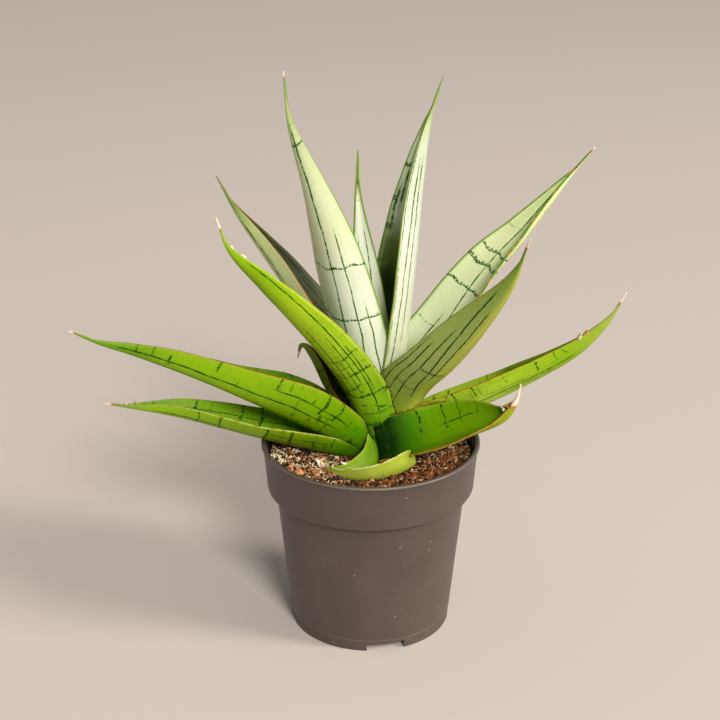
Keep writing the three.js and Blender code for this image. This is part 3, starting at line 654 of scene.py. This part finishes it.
    "leaf_13_old_curled": dict(
        BRIGHT,
        outer=[(0, "#b0c440"), (0.5, "#c6d452"), (0.85, "#c2cc4e"), (0.93, "#d8a070"), (1, "#e6b088")],
        inner=[(0, "#76a01c"), (0.4, "#6c9014"), (0.8, "#84a024"), (0.93, "#d8a070"), (1, "#e6b088")],
        outer_lines=[(0.3, 0.1, 0.4, 0.8, 0.5, 0.4), (-0.4, 0.1, -0.4, 0.8, 0.5, 0.4)],
        inner_lines=[(-0.5, 0.1, -0.6, 0.8, 0.5, 0.4)],
        outer_bands=[(0.4, 0.6, 0.3)],
        inner_bands=[(0.6, 0.6, 0.3)],
        edge="#ecd9bc", edge_spots="#c4703c", dry=0.9, bars=0.15),
}
DRY_COLOUR = "#ead3b8"
LINE_TAPER = 12                # mm over which a dark line thins out at its ends
# Noises over a leaf's skin: width and length of their forms in mm, how far apart the two faces'
# patterns lie, and detail. A real leaf's speckles are finer than the grain, which is drawn coarser
# so that it shows.
SKIN_NOISES = {"clouds": (12, 28, 9, 3), "streaks": (0.8, 25, 5, 2), "grain": (0.7, 0.9, 7, 2),
               "waves": (7, 30, 3, 0), "teeth": (1.1, 9, 3, 1), "gaps": (3, 5, 11, 1),
               "bars": (7, 2.6, 3, 1)}


def drawn_lines(add, lines, share, t, half, length, fray):
    """The dark lines along a face: crisp, a little frayed at their sides."""
    marks = []
    for start, t_start, end, t_end, width, strength in lines:
        middle = add("MapRange", [t, t_start, t_end, start, end])
        aside = add("Math", [away(add, share, middle, half), fray], operation="ADD")
        reach = length * (t_end - t_start) / 2
        past = away(add, t, (t_start + t_end) / 2, length)
        thinned = add("MapRange", [past, reach - LINE_TAPER, reach, 0.0, width])
        outside = add("Math", [aside, thinned], operation="ADD")
        marks.append(add("MapRange", [outside, 0.25 * width, 1.0 * width, strength, 0.0],
                         interpolation_type="SMOOTHSTEP"))
    return strongest(add, marks)


def drawn_bands(add, bands, share, jagged, half, length, ticks):
    """The jagged lines across a face, each a row of short strokes."""
    marks = []
    for t_band, width, strength, *ends in bands:
        start, end = ends or (-1, 1)
        along = add("Math", [away(add, jagged, t_band, length), ticks], operation="ADD")
        past = away(add, share, (start + end) / 2, half)
        past = add("Math", [half, -(end - start) / 2, past], operation="MULTIPLY_ADD")
        outside = add("Math", [along, past], operation="MAXIMUM")
        marks.append(add("MapRange", [outside, 0.2 * width, 0.8 * width, strength, 0.0],
                         interpolation_type="SMOOTHSTEP"))
    return strongest(add, marks)


def leaf_skin(leaf, look):
    """Live leaf skin: a thin wax bloom over striped green tissue. It scatters light widely, so the
    eye sees a satin sheen along the leaf and crisp dark veins below it."""
    material, add = new_material("skin_of_" + leaf["name"])
    length = float(leaf_frame(leaf)[1][-1])
    blade, form, face = (add("SeparateXYZ", [add("UVMap", uv_map=key)]).outputs
                         for key in ("blade", "form", "face"))
    share, along, half, t, inner = blade["X"], blade["Y"], form["X"], form["Y"], face["X"]
    skin = add("CombineXYZ", [add("Math", [share, half], operation="MULTIPLY"), along, inner])
    on_inner = add("MapRange", [inner, 0.4, 0.6])
    noises = {}
    for key, (wide, long, apart, detail) in SKIN_NOISES.items():
        place = add("VectorMath", [skin, (1 / wide, 1 / long, apart)], operation="MULTIPLY")
        noises[key] = add("TexNoise", {"Vector": place, "Scale": 1.0, "Detail": detail})

    # Soft clouds and fine streaks, fainter on the inner face, then specks, and the tones of the sides.
    calmer = add("MapRange", [on_inner, 0.0, 1.0, 1.0, 0.15])
    cloudy = add("MapRange", [noises["clouds"], 0.42, 0.72, 0.0, 0.35])
    cloudy = add("Math", [cloudy, calmer], operation="MULTIPLY")
    streaked = add("MapRange", [noises["streaks"], 0.5, 0.85, 0.0, 0.45])
    streaked = add("Math", [streaked, calmer], operation="MULTIPLY")
    specks = add("MapRange", [noises["grain"], 0.46, 0.72, 0.0, look["specks"]])
    sides = add("ValToRGB", [add("MapRange", [share, -1.0, 1.0])],
                stops=[((place + 1) / 2, tone, strength) for place, tone, strength in look["sides"]])
    sides_from = look.get("sides_from", -1.0)
    laid_on = add("MapRange", [t, sides_from, sides_from + 0.15])
    laid_on = add("Math", [sides.outputs["Alpha"], laid_on], operation="MULTIPLY")

    # Dark lines along the leaf, which wander a little every 24 mm, and jagged ones across it.
    wander = add("TexNoise", {"W": along, "Scale": 1 / 24}, noise_dimensions="1D")
    bent = add("Math", [wander, 0.07, share], operation="MULTIPLY_ADD")
    bent = add("Math", [bent, 0.035], operation="SUBTRACT")
    fray = add("MapRange", [noises["grain"], 0.3, 0.7, -0.1, 0.3])
    jagged = add("Math", [noises["waves"], 4 / length, t], operation="MULTIPLY_ADD")
    jagged = add("Math", [noises["teeth"], 1.8 / length, jagged], operation="MULTIPLY_ADD")
    jagged = add("Math", [jagged, 2.9 / length], operation="SUBTRACT")
    ticks = add("MapRange", [noises["teeth"], 0.35, 0.65, -0.4, 0.45])
    outer_lines, inner_lines = (drawn_lines(add, look[key], bent, t, half, length, fray)
                                for key in ("outer_lines", "inner_lines"))
    outer_bands, inner_bands = (drawn_bands(add, look[key], share, jagged, half, length, ticks)
                                for key in ("outer_bands", "inner_bands"))
    lines = add("Mix", {0: on_inner, 2: outer_lines, 3: inner_lines})
    whole = add("MapRange", [noises["gaps"], 0.4, 0.56, 0.6, 1.0])
    lines = add("Math", [lines, whole], operation="MULTIPLY")
    bands = add("Mix", {0: on_inner, 2: outer_bands, 3: inner_bands})
    unbroken = add("MapRange", [noises["grain"], 0.36, 0.52, 0.4, 1.0])
    bands = add("Math", [bands, unbroken], operation="MULTIPLY")
    # Faint bars across, 3 mm apart, as the older leaves have them low down.
    barred = add("MapRange", [noises["bars"], 0.56, 0.68, 0.0, look["bars"]])
    low = add("MapRange", [t, 0.2, 0.6, 1.0, 0.15])
    barred = add("Math", [barred, low], operation="MULTIPLY")
    not_beak = add("MapRange", [t, 0.92, 0.96, 1.0, 0.3])
    marks = add("Math", [strongest(add, [lines, bands, barred]), not_beak], operation="MULTIPLY")
    halo = add("MapRange", [marks, 0.0, 0.5, 0.0, 0.45])
    core = add("MapRange", [marks, 0.25, 0.85], interpolation_type="SMOOTHSTEP")

    # The corky margin is a thin line on the leaf's very edge, with darker spots.
    rim = add("MapRange", [away(add, inner, 0.5), 0.18, 0.38, 0.95, 0.0])
    spots = add("TexNoise", {"W": along, "Scale": 1 / 5, "Detail": 2.0}, noise_dimensions="1D")
    spotted = add("MapRange", [spots, 0.52, 0.6])
    edge = add("Mix", {0: spotted, 6: linear(look["edge"]), 7: linear(look["edge_spots"])},
               data_type="RGBA")

    # The very tip dries to straw, with a brown ring where the dry part begins.
    frayed = add("Math", [noises["grain"], 3 / length, t], operation="MULTIPLY_ADD")
    dry_from = look["dry"] + 1.5 / length
    ring = add("MapRange", [away(add, frayed, dry_from, length), 0.4, 1.6, 0.8, 0.0])
    dry = add("MapRange", [frayed, dry_from, dry_from + 1 / length])

    # From the ground colour up: each layer's strength and its tone.
    bloom, dark = linear(look["clouds"]), linear(look["line"])
    colour, inner_tone = (add("ValToRGB", [t], stops=look[key]) for key in ("outer", "inner"))
    for strength, tone in ((on_inner, inner_tone), (cloudy, bloom), (laid_on, sides), (streaked, bloom),
                           (specks, dark), (halo, linear(look["halo"])), (core, dark), (rim, edge),
                           (dry, linear(DRY_COLOUR)), (ring, linear("#a8653c"))):
        colour = add("Mix", {0: strength, 6: colour, 7: tone}, data_type="RGBA")
    worn = add("MapRange", [noises["clouds"], 0.35, 0.65, look["roughness"] - 0.06,
                            look["roughness"] + 0.06])
    rough = add("Mix", {0: dry, 2: worn, 3: 0.85})
    end_material(add, colour, rough, noises["streaks"], 0.3, 0.4,
                 **{"IOR": 1.45, "Specular IOR Level": look["specular"]})
    return material


def make_leaves():
    """From the oldest: each younger leaf is cut clear of the older ones, as its solid is."""
    older = []
    pieces = []
    for leaf in reversed(LEAVES):
        mesh = leaf_mesh(leaf)
        if older:
            mesh = cut_away(mesh, older)
        look = LOOKS[leaf["name"]]
        pieces.append(make_piece(mesh, leaf_skin(leaf, look), leaf["name"]))
        older.append(leaf_mesh(leaf, leaf.get("room", CLEARANCE)))
    return pieces


# Scraps of dry skin that still hang on the margins: [leaf's number, t, side, length, width, lift in
# degrees, turn along the margin in degrees, colour].
SCRAPS = [
    (7, 0.84, 1, 4.0, 2.2, 10, 8, "#f4ecdf"),
    (7, 0.89, 1, 3.0, 1.7, -10, 12, "#f4ecdf"),
    (7, 0.85, 1, 2.6, 1.4, 30, 35, "#d8b898"),
    (8, 0.775, -1, 6.5, 3.4, 75, 8, "#efdcc0"),
    (8, 0.8, -1, 4.5, 2.8, 95, -10, "#d0986c"),
    (11, 0.79, 1, 5.0, 4.6, 60, 15, "#f2e2cc"),
    (11, 0.83, 1, 4.0, 3.0, 80, 0, "#dca680"),
    (12, 0.87, 1, 5.0, 2.0, 10, 5, "#c48a64"),
    (12, 0.91, 1, 4.0, 1.6, 30, 15, "#e6d2b8"),
    (13, 0.93, 1, 7.0, 3.0, 0, 15, "#efb98c"),
    (13, 0.95, -1, 6.0, 2.6, 20, 25, "#f4e6d0"),
    (13, 0.97, 1, 4.0, 2.0, 40, 40, "#c97848"),
    (13, 0.8, 1, 4.0, 1.6, 20, 10, "#f2e6d0"),
    (13, 0.72, -1, 4.4, 1.6, 10, 12, "#f4ece0"),
    (10, 0.07, 1, 3.4, 1.8, 20, 30, "#e0b8a4"),
]
SCRAP_THICKNESS = 0.26
SCRAP_CURL = 1.9               # radians from foot to point


def scrap_mesh(name, foot, ahead, aside, up, length, width):
    """A curled, pointed flake that stands on its foot."""
    steps = 7
    points = []
    for step in range(steps):
        run = step / (steps - 1)
        curl = SCRAP_CURL * run
        bow = math.sin(curl) / SCRAP_CURL * ahead + (1 - math.cos(curl)) / SCRAP_CURL * up
        centre = foot + length * bow
        reach = 0.5 * width * (1 - 0.8 * run**1.5) * (1 + 0.2 * math.sin(9 * run + length))
        thick = SCRAP_THICKNESS / 2 * (math.cos(curl) * up - math.sin(curl) * ahead)
        points += [centre - reach * aside - thick, centre - thick + 0.15 * reach * up,
                   centre + reach * aside - thick, centre + reach * aside + thick,
                   centre + thick + 0.15 * reach * up, centre - reach * aside + thick]
    return make_mesh(name, points, tube_faces(steps, 6))


def dry_skin(name, colour):
    """Dead leaf skin: papery and matt, with brown blotches of about 1 mm."""
    material, add = new_material(name)
    place = add("TexCoord").outputs["Object"]
    blotch = add("TexNoise", {"Vector": place, "Scale": 1 / (1.0 * MM), "Detail": 3.0})
    brown = add("MapRange", [blotch, 0.5, 0.72, 0.0, 0.4])
    tone = add("Mix", {0: brown, 6: linear(colour), 7: linear("#8f5a38")}, data_type="RGBA")
    end_material(add, tone, 0.85, blotch, 0.5, 0.2, IOR=1.4)
    return material


def make_scraps():
    for number, (leaf_number, t, side, length, width, lift, turn, colour) in enumerate(SCRAPS, 1):
        leaf = LEAVES[leaf_number - 1]
        frame_of_leaf = leaf_frame(leaf)
        here, _, shares, faces, _ = leaf_ring(leaf, frame_of_leaf, t)
        there = leaf_ring(leaf, frame_of_leaf, t + 0.01)[0]
        tip = int(np.argmin(abs(faces - 0.5) + abs(shares - side)))
        along = (there[tip] - here[tip]) / np.linalg.norm(there[tip] - here[tip])
        outward = here[tip] - here.mean(axis=0)
        outward -= outward.dot(along) * along
        outward /= np.linalg.norm(outward)
        a, b = math.radians(turn), math.radians(lift)
        up = np.cross(along, outward) * side
        ahead = math.cos(a) * along + math.sin(a) * outward
        up = math.cos(b) * up + math.sin(b) * np.cross(ahead, up)
        mesh = scrap_mesh(f"dry_scrap_{number:02d}", here[tip] - 0.4 * outward, ahead, np.cross(up, ahead),
                          up, length, width)
        make_piece(mesh, dry_skin(f"dry_skin_{number:02d}", colour))


# --- Pot ---

LATHE_SIDES = 160
CREASE = 28                    # degrees, above which an edge of the pot stays sharp


def arc(radius, height, size, start, end, count=6):
    """Points of an arc in the pot's profile, about (radius, height), with angles in degrees."""
    angles = [math.radians(mix(start, end, k / (count - 1))) for k in range(count)]
    return [(radius + size * math.cos(a), height + size * math.sin(a)) for a in angles]


def pot_profile():
    inner_floor = FLOOR_HEIGHT + FLOOR_THICKNESS
    return [
        (0.0, FLOOR_HEIGHT),
        (FOOT_RADIUS - FOOT_THICKNESS, FLOOR_HEIGHT),
        *arc(FOOT_RADIUS - FOOT_THICKNESS + 0.4, 0.4, 0.4, 180, 270, 4),
        *arc(FOOT_RADIUS - 0.4, 0.4, 0.4, 270, 360, 4),
        (FOOT_RADIUS + 0.15, FOOT_HEIGHT - 0.9),
        *arc(BODY_LOW_RADIUS - 0.5, FOOT_HEIGHT + 0.2, 0.5, 270, 350, 5),
        (mix(BODY_LOW_RADIUS, BODY_TOP_RADIUS, 0.5), mix(FOOT_HEIGHT, COLLAR_BOTTOM, 0.5)),
        (BODY_TOP_RADIUS, COLLAR_BOTTOM - 0.9),
        *arc(BODY_TOP_RADIUS + 0.5, COLLAR_BOTTOM - 0.9, 0.5, 180, 95, 4),
        *arc(COLLAR_LOW_RADIUS - 1.6, COLLAR_BOTTOM + 1.2, 1.6, 275, 355, 8),
        (mix(COLLAR_LOW_RADIUS, RIM_RADIUS - LIP, 0.5), mix(COLLAR_BOTTOM, POT_HEIGHT, 0.48)),
        (RIM_RADIUS - LIP, POT_HEIGHT - 3.3),
        (RIM_RADIUS - LIP + 0.15, POT_HEIGHT - 2.9),
        *arc(RIM_RADIUS - 1.35, POT_HEIGHT - 1.35, 1.35, -50, 130, 10),
        (RIM_RADIUS - LIP - WALL - 0.1, POT_HEIGHT - 1.2),
        (RIM_RADIUS - LIP - WALL - 0.3, POT_HEIGHT - 2.6),
        (COLLAR_LOW_RADIUS - WALL, COLLAR_BOTTOM + 1.4),
        (BODY_TOP_RADIUS - WALL, COLLAR_BOTTOM - 1.4),
        (BODY_LOW_RADIUS - WALL, inner_floor + 2),
        (BODY_LOW_RADIUS - WALL - 2, inner_floor),
        (0.0, inner_floor),
    ]


def lathe_mesh(name, profile, sides):
    """Turns a profile that starts and ends on the axis."""
    points = [(0, 0, profile[0][1])]
    for radius, height in profile[1:-1]:
        points += circle(radius, height, sides)
    points.append((0, 0, profile[-1][1]))
    rings = len(profile) - 2
    faces = []
    for k in range(sides):
        j = (k + 1) % sides
        faces.append((0, 1 + j, 1 + k))
        for ring in range(rings - 1):
            low = 1 + ring * sides
            faces.append((low + k, low + j, low + sides + j, low + sides + k))
        low = 1 + (rings - 1) * sides
        faces.append((low + k, low + j, len(points) - 1))
    return make_mesh(name, points, faces)


def notch_mesh(turn):
    """The box that a notch takes out of the foot ring, turned about the pot's axis in degrees."""
    a = math.radians(turn)
    corners = [(FOOT_RADIUS + 8 * u, NOTCH_WIDTH / 2 * v) for u, v in ((-1, -1), (1, -1), (1, 1), (-1, 1))]
    points = [(x * math.cos(a) - y * math.sin(a), x * math.sin(a) + y * math.cos(a), z)
              for z in (-NOTCH_HEIGHT, NOTCH_HEIGHT) for x, y in corners]
    return make_mesh("notch", points, tube_faces(2, 4))


def drain_hole_mesh(x, y, sides=40):
    """The upright cylinder that a drain hole takes out of the floor, from below it to above it."""
    points = [point for height in (2, 12) for point in circle(DRAIN_HOLE_RADIUS, height, sides, x, y)]
    return make_mesh("hole", points, tube_faces(2, sides))


def moulded_plastic():
    """Polypropylene, injection moulded with a fine matt grain: soft wide highlights, light scuffs.
    The real grain is too fine to show, so it is drawn 1.1 mm wide."""
    material, add = new_material("moulded_polypropylene")
    place = add("TexCoord").outputs["Object"]
    grain = add("TexNoise", {"Vector": place, "Scale": 1 / (1.1 * MM), "Detail": 3.0})
    mottle = add("TexNoise", {"Vector": place, "Scale": 1 / (30 * MM), "Detail": 5.0})
    tone = add("ValToRGB", [mottle], stops=[(0.3, "#4b403b"), (0.7, "#554944")])
    # Specks of dust, 0.6 mm across, some 8 mm apart.
    dust = add("TexVoronoi", {"Vector": place, "Scale": 1 / (8 * MM)})
    dusted = add("MapRange", [dust, 0.04, 0.07, 0.7, 0.0])
    # Hairline scratches, which follow the ridges of a stretched noise.
    swirl = add("TexNoise", {"Vector": place, "Scale": 1 / (16 * MM), "Detail": 1.0, "Distortion": 1.4})
    scratch = add("MapRange", [away(add, swirl, 0.5), 0.0005, 0.003, 0.34, 0.0])
    patchy = add("MapRange", [mottle, 0.54, 0.62])
    scratch = add("Math", [scratch, patchy], operation="MULTIPLY")
    # A pale line on the rim's edge and one on the parting line above the foot are painted highlights,
    # and the dark band under the collar is painted shade: each one's height, core, reach and strength.
    height = add("SeparateXYZ", [place]).outputs["Z"]
    rim, painted_seam_highlight, painted_collar_shade = (
        add("MapRange", [away(add, height, level * MM), core * MM, reach * MM, strength, 0.0])
        for level, core, reach, strength in ((POT_HEIGHT - 0.7, 0.25, 0.5, 0.16),
                                             (FOOT_HEIGHT, 0.1, 0.4, 0.35),
                                             (COLLAR_BOTTOM - 0.5, 0.4, 1.0, 0.75)))
    # The real dust and scratches share one pale tone with the two painted highlights; the collar band is
    # painted shade.
    worn = strongest(add, [dusted, scratch, rim, painted_seam_highlight])
    tone = add("Mix", {0: painted_collar_shade, 6: tone, 7: linear("#241c18")}, data_type="RGBA")
    colour = add("Mix", {0: worn, 6: tone, 7: linear("#b4a79a")}, data_type="RGBA")
    rough = add("MapRange", [mottle, 0.3, 0.7, 0.4, 0.5])
    end_material(add, colour, rough, grain, 0.15, 0.12, IOR=1.49)
    return material


def make_pot():
    blank = lathe_mesh("nursery_pot", pot_profile(), LATHE_SIDES)
    cutters = [drain_hole_mesh(0, 0)]
    for x, y, _ in circle(DRAIN_RING_RADIUS, 0, DRAIN_HOLE_COUNT):
        cutters.append(drain_hole_mesh(x, y))
    for i in range(NOTCH_COUNT):
        cutters.append(notch_mesh(NOTCH_TURN + 360 / NOTCH_COUNT * i))
    mesh = cut_away(blank, cutters)
    mesh.set_sharp_from_angle(angle=math.radians(CREASE))
    return make_piece(mesh, moulded_plastic(), "pot")


# --- Soil and rhizome ---


def soil_height(x, y):
    waves = math.sin(x / 7 + 1.3) * math.cos(y / 9) + 0.6 * math.sin(x / 4.1 - y / 5.3)
    crumbs = noise.noise(Vector((x / 3.1, y / 3.1, 0))) + 0.6 * noise.noise(Vector((x / 1.3, y / 1.3, 7)))
    return SOIL_TOP + 0.5 * SOIL_SWELL * waves + 0.55 * crumbs


def soil_mesh(sides=220, rings=62):
    """The mix's sides, which follow the pot's inside, and rings of its top from the edge inwards."""
    points = []
    for radius, height in ((40, 8.6), (42.6, 11), (50.2, COLLAR_BOTTOM - 1.4), (55, COLLAR_BOTTOM + 2.4)):
        points += circle(radius, height, sides)
    for ring in range(rings):
        top = circle(SOIL_RADIUS * (1 - ring / rings), 0, sides)
        points += [(x, y, soil_height(x, y)) for x, y, _ in top]
    return make_mesh("potting_mix", points, tube_faces(len(points) // sides, sides))


def peat():
    """Moist peat and coir: very dark, matt, crumbly."""
    material, add = new_material("moist_peat")
    place = add("TexCoord").outputs["Object"]
    crumb = add("TexNoise", {"Vector": place, "Scale": 1 / (2.2 * MM), "Detail": 6.0, "Roughness": 0.7})
    tone = add("ValToRGB", [crumb], stops=[(0.0, "#0c0603"), (0.45, "#2a180c"), (0.6, "#4a2c16"),
                                           (0.75, "#6a4224"), (1.0, "#8a5a34")])
    end_material(add, tone, 0.9, crumb, 0.9, 1, IOR=1.4)
    return material


def loose_matter(name, stops):
    """Bits of coir, bark or grit: each bit has one tone of its own, kept in the map 'tone'."""
    material, add = new_material(name)
    tone = add("SeparateXYZ", [add("UVMap", uv_map="tone")]).outputs["X"]
    place = add("TexCoord").outputs["Object"]
    flecks = add("TexNoise", {"Vector": place, "Scale": 1 / (0.7 * MM), "Detail": 3.0})
    varied = add("Math", [flecks, 0.3, tone], operation="MULTIPLY_ADD")
    varied = add("Math", [varied, 0.15], operation="SUBTRACT")
    colour = add("ValToRGB", [varied], stops=stops)
    end_material(add, colour, 0.85, flecks, 0.5, 0.3, IOR=1.4)
    return material


def crumb_shape(draw, size):
    """A lump: an icosahedron with its corners pulled about."""
    golden = (1 + 5**0.5) / 2
    corners = [(0, a, b) for a in (-1, 1) for b in (-golden, golden)]
    corners += [(a, b, 0) for a in (-1, 1) for b in (-golden, golden)]
    corners += [(b, 0, a) for a in (-1, 1) for b in (-golden, golden)]
    points = np.array(corners) / 1.9 * size
    points *= np.array([[draw.uniform(0.7, 1.25)] for _ in corners]) * [1, draw.uniform(0.6, 1), 0.7]
    return points


def hull_faces(points):
    work = bmesh.new()
    for point in points:
        work.verts.new(point)
    work.verts.ensure_lookup_table()
    for index, vert in enumerate(work.verts):
        vert.index = index
    bmesh.ops.convex_hull(work, input=work.verts[:])
    faces = [tuple(v.index for v in face.verts) for face in work.faces]
    work.free()
    return faces


def flake_shape(draw, size):
    """A thin, uneven chip."""
    corners = 6
    rim = [(size * draw.uniform(0.6, 1.1) * math.cos(2 * math.pi * k / corners),
            size * draw.uniform(0.35, 0.65) * math.sin(2 * math.pi * k / corners)) for k in range(corners)]
    thick = draw.uniform(0.25, 0.6)
    return np.array([(x, y, thick * side * 0.5 + 0.12 * x) for side in (-1, 1) for x, y in rim])


def fibre_shape(draw, size):
    """A bent strand of coir."""
    bend, swing, width = draw.uniform(-0.5, 0.5), draw.uniform(-0.3, 0.3), draw.uniform(0.16, 0.34)
    points = []
    for step in range(6):
        along = (step / 5 - 0.5) * size
        centre = (along, bend * along * along / size, swing * (0.25 * size - along * along / size))
        for k in range(4):
            a = math.pi / 2 * k
            points.append((centre[0], centre[1] + width * math.cos(a), centre[2] + width * math.sin(a)))
    return np.array(points)


CRUMB_FACES = hull_faces(crumb_shape(random.Random(0), 1))
FLAKE_FACES = [tuple(reversed(range(6))), tuple(range(6, 12))]
FLAKE_FACES += [(k, (k + 1) % 6, 6 + (k + 1) % 6, 6 + k) for k in range(6)]
CHIP_PLACE = (-38, -26.8)
CHIP_SIZE = 2.8


def everywhere(x, y):
    return 1.0


def at_left(x, y):
    """How much grit lies there: most at the left, some at the right and the back."""
    left = float(ease((-x - 8) / 16))
    back_right = float(ease((x - 22) / 16)) * float(ease((y + 26) / 20))
    return 0.1 + 0.9 * left + 0.55 * back_right


def at_front(x, y):
    """How much coir lies there: most at the front and the right."""
    return 0.3 + 0.7 * float(ease((x + 12) / 24))


def lay_loose(name, points, faces, tones, material):
    """A piece of loose matter, with flat facets."""
    mesh = make_mesh(name, points, faces, {"tone": [(tone, 0) for tone in tones]}, smooth=False)
    make_piece(mesh, material)


def scatter(name, material, near, count, seed, shape, faces, sizes, lift, tones, tilt, spread=everywhere):
    """Lays up to count bits at random on the soil, clear of the leaves, as one piece. lift is how far
    a bit's middle stands over the soil, as a share of its size, and tilt is in radians."""
    draw = random.Random(seed)
    points, all_faces, all_tones = [], [], []
    for _ in range(count):
        radius, angle = (SOIL_RADIUS - 0.8) * math.sqrt(draw.random()), draw.uniform(0, 2 * math.pi)
        size = mix(*sizes, draw.random() ** 2)
        x, y = radius * math.cos(angle), radius * math.sin(angle)
        bit = shape(draw, size)
        turned = Euler((draw.gauss(0, tilt), draw.gauss(0, tilt), draw.uniform(0, 2 * math.pi))).to_matrix()
        bit = bit @ np.array(turned).T
        spot = np.array([x, y, soil_height(x, y) + lift * size])
        reach = np.linalg.norm(bit[:, :2], axis=1).max()
        tone = draw.uniform(*tones)
        chosen = draw.random() < spread(x, y)
        hit = near.find_nearest(Vector(spot * MM + AXIS), (0.55 * reach + 0.4) * MM)[0]
        if not chosen or hit is not None or radius + 0.8 * reach > SOIL_RADIUS:
            continue
        points.append(bit + spot)
        all_faces += [tuple(len(all_tones) + i for i in face) for face in faces]
        all_tones += [tone] * len(bit)
    lay_loose(name, np.vstack(points), all_faces, all_tones, material)


def make_soil(leaves):
    make_piece(soil_mesh(), peat(), "soil")
    work = bmesh.new()
    for leaf in leaves:
        work.from_mesh(leaf.data)
    near = BVHTree.FromBMesh(work)
    work.free()
    bark = loose_matter("composted_bark", [(0.0, "#140a05"), (0.35, "#3c2112"), (0.65, "#8a4c24"),
                                           (1.0, "#c48a5c")])
    coir = loose_matter("coir_fibre", [(0.0, "#4c2812"), (0.5, "#9a5a28"), (1.0, "#c48a54")])
    grit = loose_matter("pale_grit", [(0.0, "#a08c64"), (0.5, "#d6c79c"), (1.0, "#f0e6c8")])
    scatter("bark_crumbs", bark, near, 3000, 11, crumb_shape, CRUMB_FACES, (0.5, 2.0), 0.25, (0, 0.75), 3)
    scatter("bark_flakes", bark, near, 700, 12, flake_shape, FLAKE_FACES, (1.0, 3.4), 0.15, (0.3, 1), 0.4)
    scatter("grit_grains", grit, near, 7500, 13, flake_shape, FLAKE_FACES, (0.4, 1.35), 0.4, (0, 1), 0.7,
            at_left)
    scatter("coir_strands", coir, near, 1500, 14, fibre_shape, tube_faces(6, 4), (2.5, 9), 0.12, (0, 1),
            0.35, at_front)
    # The one large chip of fresh bark, at the front left.
    fresh = loose_matter("fresh_bark", [(0.0, "#6c3c1c"), (0.6, "#a8683c"), (1.0, "#cf9262")])
    spot = np.array([*CHIP_PLACE, soil_height(*CHIP_PLACE) + 0.4 * CHIP_SIZE])
    chip = crumb_shape(random.Random(5), CHIP_SIZE) + spot
    lay_loose("bark_chip", chip, CRUMB_FACES, [0.95] * len(chip), fresh)


def make_rhizome():
    """The underground stem keeps its solid: only its finish, a thin matt bark, is added."""
    material, add = new_material("rhizome_bark")
    place = add("TexCoord").outputs["Object"]
    rings = add("TexNoise", {"Vector": place, "Scale": 1 / (5 * MM), "Detail": 5.0})
    tone = add("ValToRGB", [rings], stops=[(0.0, "#8a5a2c"), (0.5, "#c09250"), (1.0, "#dcb878")])
    end_material(add, tone, 0.8, rings, 0.6, 0.6)
    mesh = frame["nodes"]["rhizome"].data
    mesh.materials.clear()
    mesh.materials.append(material)


# --- Stage: places and sizes in metres, apart from the camera's ---

CAMERA_PLACE = (-5.8, -889.9, 539.5)
CAMERA_TILT = 23.35            # degrees down from level
CAMERA_LENS = 90               # on a 36 mm sensor
LIGHT_SPREAD = 80              # degrees: keeps the floor below the lamps from glaring
FLOOR_REACH = 8.0
LIGHT_TARGET = Vector((0, 0, 0.15))
LIGHTS = [                     # name, place, size, power in watts, colour
    ("key", (2.2, -6.6, 5.05), 2.6, 117, "#fffaf2"),
    ("side", (5.4, -1.8, 3.25), 2.0, 56, "#fff6ea"),
]


def make_camera():
    camera = add_object("camera", bpy.data.cameras.new("camera"))
    camera.data.lens = CAMERA_LENS
    camera.data.sensor_width = 36
    camera.data.clip_end = 50
    camera.location = np.array(CAMERA_PLACE) * MM + AXIS
    camera.rotation_euler = (math.radians(90 - CAMERA_TILT), 0, 0)
    bpy.context.scene.camera = camera


def make_lights():
    for name, place, size, power, colour in LIGHTS:
        lamp = bpy.data.lights.new(name, "AREA")
        lamp.shape = "DISK"
        lamp.size = size
        lamp.spread = math.radians(LIGHT_SPREAD)
        lamp.energy = power
        lamp.color = linear(colour)[:3]
        light = add_object(name, lamp)
        light.location = place
        light.rotation_euler = (LIGHT_TARGET - Vector(place)).to_track_quat("-Z", "Y").to_euler()


def make_floor():
    """A matt painted floor: it shows soft shadows and no highlight."""
    mesh = bpy.data.meshes.new("studio_floor")
    corners = [(x * FLOOR_REACH, y * FLOOR_REACH, 0) for x, y in ((-1, -1), (1, -1), (1, 1), (-1, 1))]
    mesh.from_pydata(corners, [], [(0, 1, 2, 3)])
    floor = add_object("studio_floor", mesh)
    material, add = new_material("painted_floor")
    shader = add("BsdfPrincipled", {"Base Color": linear("#d0c7c0"), "Roughness": 0.9,
                                    "Specular IOR Level": 0.1})
    add("OutputMaterial", {"Surface": shader})
    mesh.materials.append(material)


def make_world():
    world = bpy.data.worlds.new("studio")
    world.use_nodes = True
    world.node_tree.nodes.clear()
    glow = add_node(world.node_tree, "Background", {"Color": linear("#f7f4f0"), "Strength": 0.3})
    add_node(world.node_tree, "OutputWorld", {"Surface": glow})
    bpy.context.scene.world = world
    bpy.context.scene.view_settings.view_transform = "Standard"


make_camera()
make_floor()
make_world()
make_lights()
make_pot()
LEAF_PIECES = make_leaves()
make_scraps()
make_rhizome()
make_soil(LEAF_PIECES)

bpy.context.view_layer.update()
